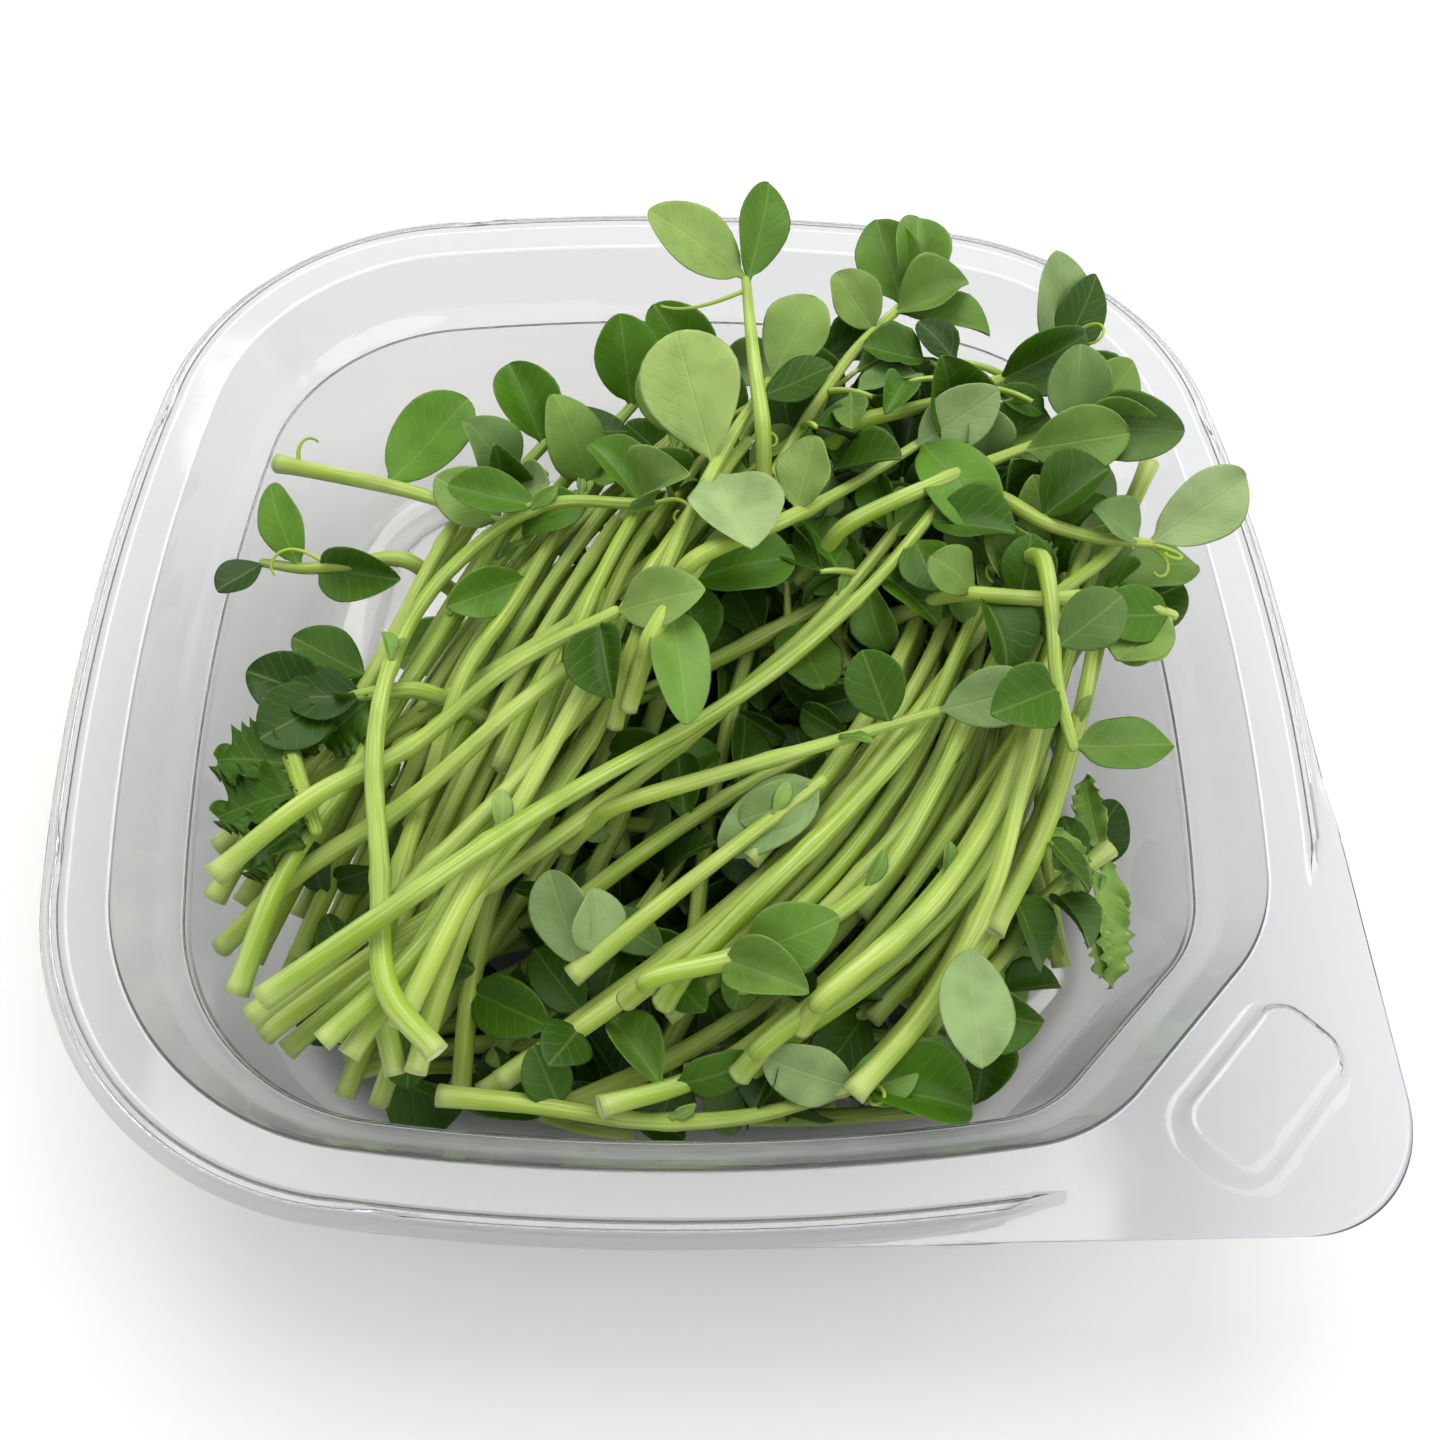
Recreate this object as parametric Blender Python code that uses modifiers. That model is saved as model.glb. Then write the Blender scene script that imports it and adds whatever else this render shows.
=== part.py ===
"""Cut pea shoots heaped in a clear, shallow, square deli tray.

Lengths are in millimetres and become metres where a mesh is made. The origin is the middle of the tray's
underside, X runs to the right, Y to the back and Z up. The tab with its raised button is the front right
corner.

The tray is one thin shell, lofted through rings that share one bowed square outline. The shoots lie in it
as they would settle: five loose bunches fill the bottom, and single shoots lie over them. A shoot's route
is drawn in plan, and its height follows the heap's domed top, lifted wherever it meets what lies below.
Leaves are then turned about their feet until they clear everything else in the tray.
"""
import math

import bmesh
import bpy
import numpy as np

MM = 0.001

# Tray
HALF_SIDE = 95.0          # middle of a side, from the centre
SIDE_BOW_R = 345.0        # each side bulges on this radius
CORNER_R = 51.7
TAB_CORNER_R = 17.3
TAB_LEAN = math.radians(0.5)
WELL_CUT = 88.6           # centre to the cut corner of the well, along the diagonal
WELL_BEND_R = 20.2
WELL_INSET = 15.6         # outline to the edge of the well
RIM_Z = 50.0
WALL = 0.7
SIDE_SEGMENTS = 2         # on each half side
CORNER_SEGMENTS = 6

# Raised button on the tab
BUTTON_X = 74.5
BUTTON_Y = -76.0
BUTTON_HALF_LENGTH = 13.8
BUTTON_HALF_WIDTH = 7.6
BUTTON_CORNER_R = 5.6
BUTTON_RISE = 2.6
BUTTON_SLOPE = 1.6        # how far the top is set in from the foot

# Heap
PEAK_X = 22.0
PEAK_Y = 38.0
PEAK_Z = 63.0
DOME = 0.0018             # drop, per square millimetre from the peak
FLOOR_Z = 2.6             # lowest underside of a stem
TOP_RISE = 8.0            # how far the topmost shoot's tip stands up out of the heap

# Shoots
STEM_R = 1.55
TIP_R = 0.95
STEM_POINTS = 8           # on the longest stems
STEM_PIECE = 17.0         # a shorter stem has a point about every so often
BEND_R = 30.0             # a stem bends over another on about this radius
GAP = 0.5                 # kept between one shoot and the next
SLANT = 1.08              # a slanting stem is this much taller than it is thick
CELL = 0.5                # of the height map used for stacking
RAISE = 0.6               # share of what a stem lacks in height that each round of raising adds
RAISE_LEAST = 0.02
RAISE_ROUNDS = 200
ROUTE_STEPS = 100         # a plan route is drawn in this many steps before it is rounded
ROUND_REACH = 10          # steps to either side that rounding averages over
ROUND_TIMES = 3
WELD = 0.00001            # metres
SHARP_ANGLE = math.radians(50)

# Leaves
LEAF_THICKNESS = 0.62
WIDEST = 0.85             # the lower, the nearer to its foot a leaf is widest
FULLNESS = 0.8            # the lower, the blunter its ends
FOOT_HALF_WIDTH = 0.5
FOOT_SHARE = 0.12         # of a leaf's length, which may touch its own stem
FOLD = (0.12, 0.45)       # rise of a half blade for each millimetre out from the middle
ARCH = (-0.06, 0.12)      # rise at mid length, as a share of the length
ROLL = (-28, 28)          # degrees
PITCH = (4, 26)           # degrees
FACING = 20.0             # degrees that a leaf leans to the front, where the tray is filled from
LEAF_STEP = 1.3           # between the points that stand for a leaf when it is placed
LEAF_POINT_R = 0.75
LONG_LEAF = 18.0          # a leaf at least this long has three stations, a shorter one two
LONG_STATIONS = (0.25, 0.53, 0.82)
SHORT_STATIONS = (0.33, 0.74)
LEAF_CLEARANCE = 0.95     # from a leaf's middle surface to another shoot's skin

# Ways a leaf is tried, from its natural place: sizes, lifts and swings in degrees. The way that costs least
# and is clear is taken, where each number of degrees below costs 1, and the loss of all its size costs 9.
LEAF_SIZES = (1.0, 0.82, 0.66)
LEAF_LIFTS = (0, -14, 12, 24, 38, 54)
LEAF_SWINGS = (0, 12, -12, 26, -26, 44, -44)
LIFT_UNIT = 16
SWING_UNIT = 15
SIZE_COST = 9

STEM_GREEN = (0.40, 0.56, 0.12, 1.0)
LEAF_GREEN = (0.09, 0.24, 0.05, 1.0)

# Each shoot: name, depth below the heap's top, route in plan from the cut end to the tip, and how many
# pairs of leaves its last third bears.
SHOOTS = (
    ("shoot_lower_a", 13, ((-54, -61), (-29, 2), (-23, 22), (-12, 36)), 0),
    ("shoot_lower_b", 13, ((-35, -70), (-34, -47), (-30, -34), (-8, 14), (0, 38)), 0),
    ("shoot_lower_c", 12, ((-60, -53), (-32, 6), (-2, 40)), 0),
    ("shoot_lower_d", 9, ((63, -36), (57, -39), (42, -56), (33, -62)), 0),
    ("shoot_lower_e", 11, ((-19, -71), (6, -63), (27, -44), (35, -32), (46, -6), (50, 22)), 1),
    ("shoot_left_a", 10, ((-53, -69), (-24, -4), (4, 50)), 1),
    ("shoot_left_b", 9, ((-68, -48), (-44, -4), (-10, 44)), 1),
    ("shoot_left_c", 9, ((-60, -64), (-44, -52), (-15, -18), (28, 46)), 2),
    ("shoot_left_d", 8, ((-47, -71), (-35, -45), (16, 48)), 2),
    ("shoot_right_a", 8, ((22, -71), (30, -65), (38, -54), (51, -25), (60, 8)), 2),
    ("shoot_right_b", 7, ((-31, -70), (14, -41), (40, -6), (48, 30)), 2),
    ("shoot_left_e", 7, ((-70, -40), (-55, -17), (-44, 10), (-24, 36)), 2),
    ("shoot_right_c", 6, ((-28, -70), (3, -52), (22, -34), (62, 20)), 2),
    ("shoot_left_f", 4, ((-73, -34), (-61, -25), (-15, -2), (20, 34)), 2),
    ("shoot_front", 5, ((-38, -76), (-14, -77), (10, -75), (22, -72)), 1),
    ("shoot_right_d", 5, ((-14, -76), (6, -68), (25, -53), (66, 2)), 2),
    ("shoot_left_g", 4, ((-62, -63), (-37, -50), (20, -6), (44, 30)), 2),
    ("shoot_left_m", 10, ((-44, -76), (-43, -38), (-37, -16), (-16, 30)), 2),
    ("shoot_left_n", 9, ((-40, -75), (-37, -61), (-4, 22), (4, 34)), 2),
    ("shoot_left_l", 6, ((-73, -44), (-56, -21), (-34, 28)), 2),
    ("shoot_left_o", 6, ((-49, -75), (-38, -58), (-31, -42), (-2, 32)), 2),
    ("shoot_left_j", 5, ((-51, -73), (-34, -56), (-16, -23), (6, 26)), 2),
    ("shoot_left_k", 3, ((-61, -64), (-38, -50), (8, 14)), 2),
    ("shoot_right_k", 6, ((34, -62), (52, -38), (66, 4)), 2),
    ("shoot_right_h", 5, ((-1, -57), (33, -25), (46, 4)), 2),
    ("shoot_right_i", 4, ((10, -55), (30, -38), (38, -27), (58, 12)), 2),
    ("shoot_right_j", 3, ((12, -66), (27, -57), (38, -48), (47, -36), (64, 8)), 2),
    ("shoot_left_h", 3, ((-73, -51), (-28, -26), (-9, -6), (6, 18)), 1),
    ("shoot_right_e", 3, ((-5, -60), (15, -55), (28, -45), (50, -2)), 1),
    ("shoot_right_f", 2, ((10, -67), (26, -56), (44, -35), (60, 6)), 2),
    ("shoot_left_r", 6, ((-65, -61), (-50, -24), (-30, 20)), 0),
    ("shoot_left_end", 7, ((-61, -23), (-54, -39)), 0),
    ("shoot_left_p", 4, ((-39, -69), (-18, -22), (8, 24)), 0),
    ("shoot_right_l", 3, ((18, -62), (26, -57), (41, -42), (62, 10)), 1),
    ("shoot_right_m", 4, ((42, -52), (53, -34), (62, -4)), 0),
    ("shoot_left_i", 1, ((-67, -46), (-37, -22), (-12, -11)), 0),
    ("shoot_left_tip", 4, ((-48, 12), (-65, 13), (-72, 16)), 0),
    ("shoot_left_dark", 8, ((-42, -15), (-55, -16)), 0),
    ("shoot_middle", 1, ((-18, -57), (18, -31)), 0),
    ("shoot_back_left", 3, ((-72, 36), (-60, 31), (-42, 18), (-31, 15)), 0),
    ("shoot_crossing", 0, ((-11, -34), (35, -22)), 0),
    ("shoot_right_end", 2, ((76, 28), (61, -1), (54, -4)), 0),
    ("shoot_big_leaf", 1, ((-9, -15), (12, 38)), 0),
    ("shoot_back_right", 1, ((-6, -15), (28, 50), (37, 60)), 1),
    ("shoot_right_g", 0, ((21, -74), (38, -57), (51, -20)), 0),
    ("shoot_bright_pair", 0, ((0, -5), (13, 4), (23, 17), (36, 26)), 0),
    ("shoot_arch", 0, ((-37, -82), (-46, -34), (-48, -13), (-44, 2), (-40, 10), (-34, 16), (-19, 18),
     (-7, 12)), 0),
    ("shoot_long", 0, ((-56, -66), (-37, -55), (-14, -32), (0, -21), (14, -15), (22, -8), (39, 15)), 0),
    ("shoot_right_leaf", -1, ((40, -3), (46, -6), (58, -7), (71, -2), (73, -5)), 0),
    ("shoot_far_right", -1, ((48, 15), (58, 5), (69, 4)), 0),
    ("shoot_drooping", -1, ((51, -3), (51, -24), (53, -30)), 0),
    ("shoot_mass_a", -1, ((26, 29), (43, 35), (62, 47)), 1),
    ("shoot_mass_b", -2, ((24, 9), (63, 30)), 1),
    ("shoot_top", -3, ((10, 23), (8, 51)), 0),
)

# Leaves that stand out: shoot, place along it from 0 to 1, heading in plan in degrees, length and width.
LEAVES = (
    ("shoot_big_leaf", 0.55, 98, 24, 15), ("shoot_big_leaf", 0.55, -62, 14, 10),
    ("shoot_big_leaf", 1.0, 69, 16, 11), ("shoot_big_leaf", 0.9, 10, 13, 10),
    ("shoot_back_left", 0.52, 46, 20, 13), ("shoot_back_left", 1.0, 150, 13, 10),
    ("shoot_left_e", 0.88, 156, 13, 10), ("shoot_left_m", 0.77, 172, 15, 8),
    ("shoot_left_i", 1.0, 5, 14, 9), ("shoot_left_i", 0.96, -80, 12, 9),
    ("shoot_back_right", 0.05, -85, 13, 9), ("shoot_back_right", 1.0, 80, 16, 10),
    ("shoot_back_right", 0.95, 17, 14, 10), ("shoot_back_right", 0.88, 132, 12, 9),
    ("shoot_bright_pair", 1.0, -62, 19, 12), ("shoot_bright_pair", 0.97, 20, 16, 10),
    ("shoot_bright_pair", 0.4, 75, 12, 9), ("shoot_top", 1.0, 126, 21, 12),
    ("shoot_top", 0.97, 74, 17, 9), ("shoot_far_right", 1.0, 28, 18, 11),
    ("shoot_far_right", 0.93, 153, 9, 8), ("shoot_far_right", 0.3, 30, 13, 10),
    ("shoot_right_leaf", 0.98, -165, 15, 9), ("shoot_right_leaf", 1.0, -138, 15, 9),
    ("shoot_right_leaf", 0.05, 150, 9, 9), ("shoot_right_leaf", 0.08, -74, 13, 10),
    ("shoot_drooping", 1.0, -2, 14, 9), ("shoot_drooping", 0.7, -150, 13, 10),
    ("shoot_drooping", 0.5, 30, 12, 9), ("shoot_crossing", 1.0, 4, 15, 9),
    ("shoot_crossing", 0.85, 120, 12, 9), ("shoot_middle", 1.0, -160, 18, 10),
    ("shoot_middle", 0.97, -130, 12, 8), ("shoot_middle", 0.1, 92, 10, 9),
    ("shoot_middle", 0.03, 110, 15, 9), ("shoot_right_e", 0.1, -27, 13, 8),
    ("shoot_right_e", 0.14, 12, 14, 10), ("shoot_front", 1.0, 165, 14, 9),
    ("shoot_front", 0.97, 13, 11, 8), ("shoot_front", 0.3, 118, 10, 7),
    ("shoot_right_g", 0.4, -104, 17, 12), ("shoot_right_c", 0.1, -116, 10, 8),
    ("shoot_right_f", 0.06, 69, 12, 8), ("shoot_left_tip", 0.7, 114, 15, 8),
    ("shoot_left_tip", 1.0, -138, 9, 7), ("shoot_left_tip", 0.6, -17, 16, 9),
    ("shoot_left_dark", 1.0, 171, 13, 10), ("shoot_left_dark", 0.95, -138, 13, 11),
    ("shoot_left_dark", 0.6, 190, 12, 9), ("shoot_left_l", 0.5, 162, 13, 9),
    ("shoot_left_b", 0.7, 46, 16, 11), ("shoot_mass_a", 0.66, 23, 17, 11),
    ("shoot_mass_a", 1.0, 60, 15, 10), ("shoot_mass_b", 0.95, -10, 15, 10),
    ("shoot_mass_b", 0.72, -4, 17, 11), ("shoot_mass_b", 1.0, 45, 14, 10),
    ("shoot_long", 1.0, 70, 14, 10), ("shoot_long", 0.96, -20, 14, 11), ("shoot_long", 0.93, -75, 13, 10),
    ("shoot_arch", 1.0, -30, 12, 10), ("shoot_arch", 0.86, 172, 15, 8),
    ("shoot_lower_d", 1.0, -80, 14, 11), ("shoot_lower_d", 0.85, -20, 13, 10),
    ("shoot_right_end", 1.0, -60, 14, 10),
)

# Each bunch: name, share of the heap's depth, place in plan where its stems are joined, heading and reach
# of the fan that they spread in from there, how many they are, the fan's angle in degrees, how far each
# stem bows aside, and whether the cut ends are at the far side of the fan.
BUNCHES = (
    ("bunch_bottom", 0.08, (-58, -42), 32, 118, 5, 54, 0, False),
    ("bunch_cross", 0.28, (56, -46), 132, 108, 5, 54, 0, False),
    ("bunch_front", 0.52, (-54, -60), 14, 112, 5, 54, 0, False),
    ("bunch_left", 0.84, (4, 30), 233, 104, 6, 32, 6, True),
    ("bunch_right", 0.84, (60, 10), 247, 88, 6, 36, -9, True),
)
BUNCH_POINTS = 6
BUNCH_PITCH = 1.9         # between stems where they are joined, less than their thickness there
BUNCH_ROOT_R = 1.45       # of a stem's thinner end where the cut ends are far
BUNCH_STRAIGHT = 12.0     # from there to where a bunch spreads
BUNCH_COVER = 12.0        # the heap's top less this is the highest that a bunch lies
BUNCH_INSET = 30.0        # its far ends stay this far inside the outline
BUNCH_SHORTEN = 0.97      # a stem too near the outline is shortened by this factor until it is clear
BUNCH_STAGGER = 0.15      # neighbouring stems are joined this much above and below one another

# Leaves that grow in pairs along the last third of a stem
PAIR_STEP = 0.13          # of the stem's length
PAIR_SHIFT = 0.3          # of that step, the most that a leaf is moved along the stem
PAIR_SWING = (28, 74)     # degrees out from the stem
PAIR_LENGTH = (13, 18)
PAIR_SLIMNESS = (0.62, 0.78)


def arc(cx, cy, radius, start, end, segments):
    """Points on an arc about (cx, cy), from one angle to the other."""
    t = np.linspace(start, end, segments + 1)
    return np.column_stack((cx + radius * np.cos(t), cy + radius * np.sin(t)))


def rounded_quarter(inset):
    """Quarter of the outline, from the middle of the right side to the middle of the back one: a bowed
    side, a corner arc that touches it, and the same side mirrored in the diagonal."""
    half = HALF_SIDE - inset
    bow = SIDE_BOW_R - inset
    corner = CORNER_R - inset
    k = bow - half
    centre = (-2 * k + math.sqrt(4 * k * k - 8 * (k * k - (bow - corner) ** 2))) / 4
    touch = math.atan2(centre, centre - half + bow)
    side = arc(half - bow, 0, bow, 0, touch, SIDE_SEGMENTS)
    bend = arc(centre, centre, corner, touch, math.pi / 2 - touch, CORNER_SEGMENTS)[1:-1]
    return np.concatenate((side, bend, side[::-1, ::-1]))


def tab_quarter(inset):
    """Quarter of the outline with the tab: a nearly straight side and a tight corner."""
    half = HALF_SIDE - inset
    radius = TAB_CORNER_R - inset
    nx = math.cos(TAB_LEAN)
    ny = math.sin(TAB_LEAN)
    centre = (half * nx - radius) / (nx + ny)
    touch = np.array((centre + radius * nx, centre + radius * ny))
    share = np.linspace(0, 1, SIDE_SEGMENTS + 1)[:, None]
    side = np.array((half, 0.0)) * (1 - share) + touch * share
    bend = arc(centre, centre, radius, TAB_LEAN, math.pi / 2 - TAB_LEAN, CORNER_SEGMENTS)[1:-1]
    return np.concatenate((side, bend, side[::-1, ::-1]))


def cut_quarter(inset):
    """Quarter of the well's outline by the tab: a bowed side, a bend, and half of the straight cut."""
    half = HALF_SIDE - inset
    bow = SIDE_BOW_R - inset
    bend_r = WELL_BEND_R + WELL_INSET - inset
    reach = (WELL_CUT + WELL_INSET - inset - bend_r) * math.sqrt(2)
    k = reach - half + bow
    y = (2 * k - math.sqrt(4 * k * k - 8 * (k * k - (bow - bend_r) ** 2))) / 4
    x = reach - y
    touch = math.atan2(y, x - half + bow)
    side = arc(half - bow, 0, bow, 0, touch, SIDE_SEGMENTS)
    bend = arc(x, y, bend_r, touch, math.pi / 4, CORNER_SEGMENTS // 3)[1:]
    middle = (bend[-1] + bend[-1, ::-1]) / 2
    return np.concatenate((side, bend, middle[None], bend[::-1, ::-1], side[::-1, ::-1]))


def ring(inset, rise, tab_corner, tab_rise):
    """One closed ring of the tray: three like quarters and the tab corner's own, as (x, y, z) rows.
    rise is measured from the rim, and becomes tab_rise round the tab."""
    rows = []
    for turn in range(4):
        quarter = tab_corner(inset) if turn == 3 else rounded_quarter(inset)
        angle = turn * math.pi / 2
        x = quarter[:-1, 0] * math.cos(angle) - quarter[:-1, 1] * math.sin(angle)
        y = quarter[:-1, 0] * math.sin(angle) + quarter[:-1, 1] * math.cos(angle)
        z = np.full(len(x), RIM_Z + rise)
        if turn == 3:
            z[SIDE_SEGMENTS:-SIDE_SEGMENTS + 1] = RIM_Z + tab_rise
        rows.append(np.column_stack((x, y, z)))
    return np.concatenate(rows)


def new_object(name, vertices, faces, collection, smooth=True):
    """A mesh object from millimetre vertices and faces."""
    mesh = bpy.data.meshes.new(name)
    mesh.from_pydata((np.asarray(vertices) * MM).tolist(), [], faces)
    mesh.validate()
    if smooth:
        mesh.shade_smooth()
    made = bpy.data.objects.new(name, mesh)
    collection.objects.link(made)
    return made


def loft_faces(rings, per_ring):
    """Quads between neighbouring rings of equal count."""
    faces = []
    for lower in range(rings - 1):
        for k in range(per_ring):
            after = (k + 1) % per_ring
            a = lower * per_ring
            faces.append((a + k, a + after, a + per_ring + after, a + per_ring + k))
    return faces


def lofted(name, rings, collection, close_first=False, close_last=False):
    """A surface through matched rings, with a fan over its first or last ring where it is closed."""
    count = len(rings[0])
    vertices = np.concatenate(rings)
    faces = loft_faces(len(rings), count)
    if close_first:
        vertices = np.vstack((vertices, rings[0].mean(axis=0)))
        faces += [((k + 1) % count, k, len(vertices) - 1) for k in range(count)]
    if close_last:
        start = (len(rings) - 1) * count
        vertices = np.vstack((vertices, rings[-1].mean(axis=0)))
        faces += [(start + k, start + (k + 1) % count, len(vertices) - 1) for k in range(count)]
    return new_object(name, vertices, faces, collection)


def apply_modifiers(made):
    """Bakes an object's modifiers into its mesh."""
    evaluated = made.evaluated_get(bpy.context.evaluated_depsgraph_get())
    mesh = bpy.data.meshes.new_from_object(evaluated)
    made.modifiers.clear()
    made.data = mesh


def button_ring(inset, z):
    """Rounded rectangle of the button, its long side square to the tab's diagonal."""
    length = BUTTON_HALF_LENGTH - inset
    width = BUTTON_HALF_WIDTH - inset
    radius = BUTTON_CORNER_R - inset
    corners = ((1, 1, 0), (-1, 1, 1), (-1, -1, 2), (1, -1, 3))
    rows = []
    for side_x, side_y, turn in corners:
        start = turn * math.pi / 2
        rows.append(arc(side_x * (length - radius), side_y * (width - radius), radius, start,
                        start + math.pi / 2, 3))
    flat = np.concatenate(rows)
    s = math.sqrt(0.5)
    x = BUTTON_X + s * (flat[:, 0] - flat[:, 1])
    y = BUTTON_Y + s * (flat[:, 0] + flat[:, 1])
    return np.column_stack((x, y, np.full(len(x), z)))


def make_tray(parts, cutters):
    """The clear shell: flange with a raised bead, a lip outside it, a stepped shoulder, a tapered well
    and a floor whose middle stands a little off the table."""
    flange = ((0.0, -0.9, tab_quarter, 0.0), (1.2, -0.2, rounded_quarter, 0.0),
              (2.4, 0.9, rounded_quarter, 0.0), (3.6, 0.0, rounded_quarter, 0.0),
              (9.0, 0.0, cut_quarter, 0.0))
    shoulder = ((10.9, -3.5), (13.2, -9.5), (WELL_INSET, -11.9), (16.4, -13.2))
    well = ((20.8, 7.0), (22.6, 2.4), (27.0, WALL), (31.0, WALL), (32.6, WALL + 1.3))
    rings = [ring(*row) for row in flange]
    rings += [ring(inset, rise, cut_quarter, rise) for inset, rise in shoulder]
    rings += [ring(inset, z - RIM_Z, cut_quarter, z - RIM_Z) for inset, z in well]
    tray = lofted("tray", rings, parts, close_last=True)
    shell = tray.modifiers.new("wall", "SOLIDIFY")
    shell.thickness = WALL * MM
    shell.offset = -1
    shell.use_even_offset = True
    underside = RIM_Z - WALL
    top = RIM_Z + BUTTON_RISE
    boss = lofted("button", [button_ring(0, underside), button_ring(0, RIM_Z + 0.3),
                             button_ring(BUTTON_SLOPE, top)], cutters, True, True)
    hollow = lofted("button_hollow", [button_ring(WALL, underside - 1), button_ring(WALL, RIM_Z),
                                      button_ring(BUTTON_SLOPE + WALL, top - WALL)], cutters, True, True)
    for cutter, operation in ((boss, "UNION"), (hollow, "DIFFERENCE")):
        cutter.hide_render = True
        cutter.display_type = "WIRE"
        step = tray.modifiers.new(cutter.name, "BOOLEAN")
        step.operation = operation
        step.object = cutter
    return tray


def inset_of(x, y):
    """How far a plan point lies inside the tray's outline, with the well's cut corner."""
    ax = np.abs(x)
    ay = np.abs(y)
    side_x = SIDE_BOW_R - np.hypot(ax + SIDE_BOW_R - HALF_SIDE, ay)
    side_y = SIDE_BOW_R - np.hypot(ay + SIDE_BOW_R - HALF_SIDE, ax)
    centre = rounded_quarter(0)[SIDE_SEGMENTS + CORNER_SEGMENTS // 2, 0] - CORNER_R * math.sqrt(0.5)
    corner = CORNER_R - np.hypot(ax - centre, ay - centre)
    inside = np.minimum(side_x, side_y)
    inside = np.where((ax > centre) & (ay > centre), np.minimum(inside, corner), inside)
    cut = WELL_CUT + WELL_INSET - (x - y) * math.sqrt(0.5)
    return np.minimum(inside, cut)


def inset_needed(z):
    """How far inside the outline a point at height z must lie to be clear of the tray's wall."""
    heights = (0.0, 2.4, 7.0, RIM_Z - 13.2, RIM_Z - 9.5, RIM_Z - 3.5, RIM_Z, RIM_Z + 3)
    insets = (28.0, 24.5, 22.2, 17.8, 15.6, 12.6, 11.6, 3.0)
    return np.interp(z, heights, insets)


def heap_top(x, y):
    """Height of the heap's upper surface, a low dome whose peak is behind and right of the middle."""
    return PEAK_Z - DOME * ((x - PEAK_X) ** 2 + (y - PEAK_Y) ** 2)


def smooth_route(hand_points, count=None):
    """The hand-set points joined by straight lines, rounded by averaging over a fifth of the length with
    the ends held, and cut into equal steps, of which there are fewer on a shorter stem."""
    points = np.array(hand_points, float)
    steps = np.hypot(*np.diff(points, axis=0).T)
    along = np.concatenate(((0.0,), np.cumsum(steps)))
    fine = np.linspace(0, along[-1], ROUTE_STEPS + 1)
    line = np.column_stack([np.interp(fine, along, column) for column in points.T])
    reach = ROUND_REACH
    for _ in range(ROUND_TIMES):
        before = 2 * line[0] - line[reach:0:-1]
        after = 2 * line[-1] - line[-2:-reach - 2:-1]
        padded = np.concatenate((before, line, after))
        window = np.ones(2 * reach + 1) / (2 * reach + 1)
        line = np.column_stack([np.convolve(column, window, "valid") for column in padded.T])
    steps = np.hypot(*np.diff(line, axis=0).T)
    along = np.concatenate(((0.0,), np.cumsum(steps)))
    count = count or int(np.clip(round(along[-1] / STEM_PIECE) + 1, 4, STEM_POINTS))
    even = np.linspace(0, along[-1], count)
    return np.column_stack([np.interp(even, along, column) for column in line.T])


def fine_line(points, step=1.0):
    """Points about a millimetre apart on the straight pieces between a stem's points, and the place of
    each one counted in those pieces."""
    steps = np.linalg.norm(np.diff(points, axis=0), axis=1)
    pieces = np.maximum(2, np.ceil(steps / step)).astype(int)
    place = np.concatenate([k + np.arange(n) / n for k, n in enumerate(pieces)] + [[len(points) - 1]])
    index = np.arange(len(points))
    return np.column_stack([np.interp(place, index, column) for column in points.T]), place


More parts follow.
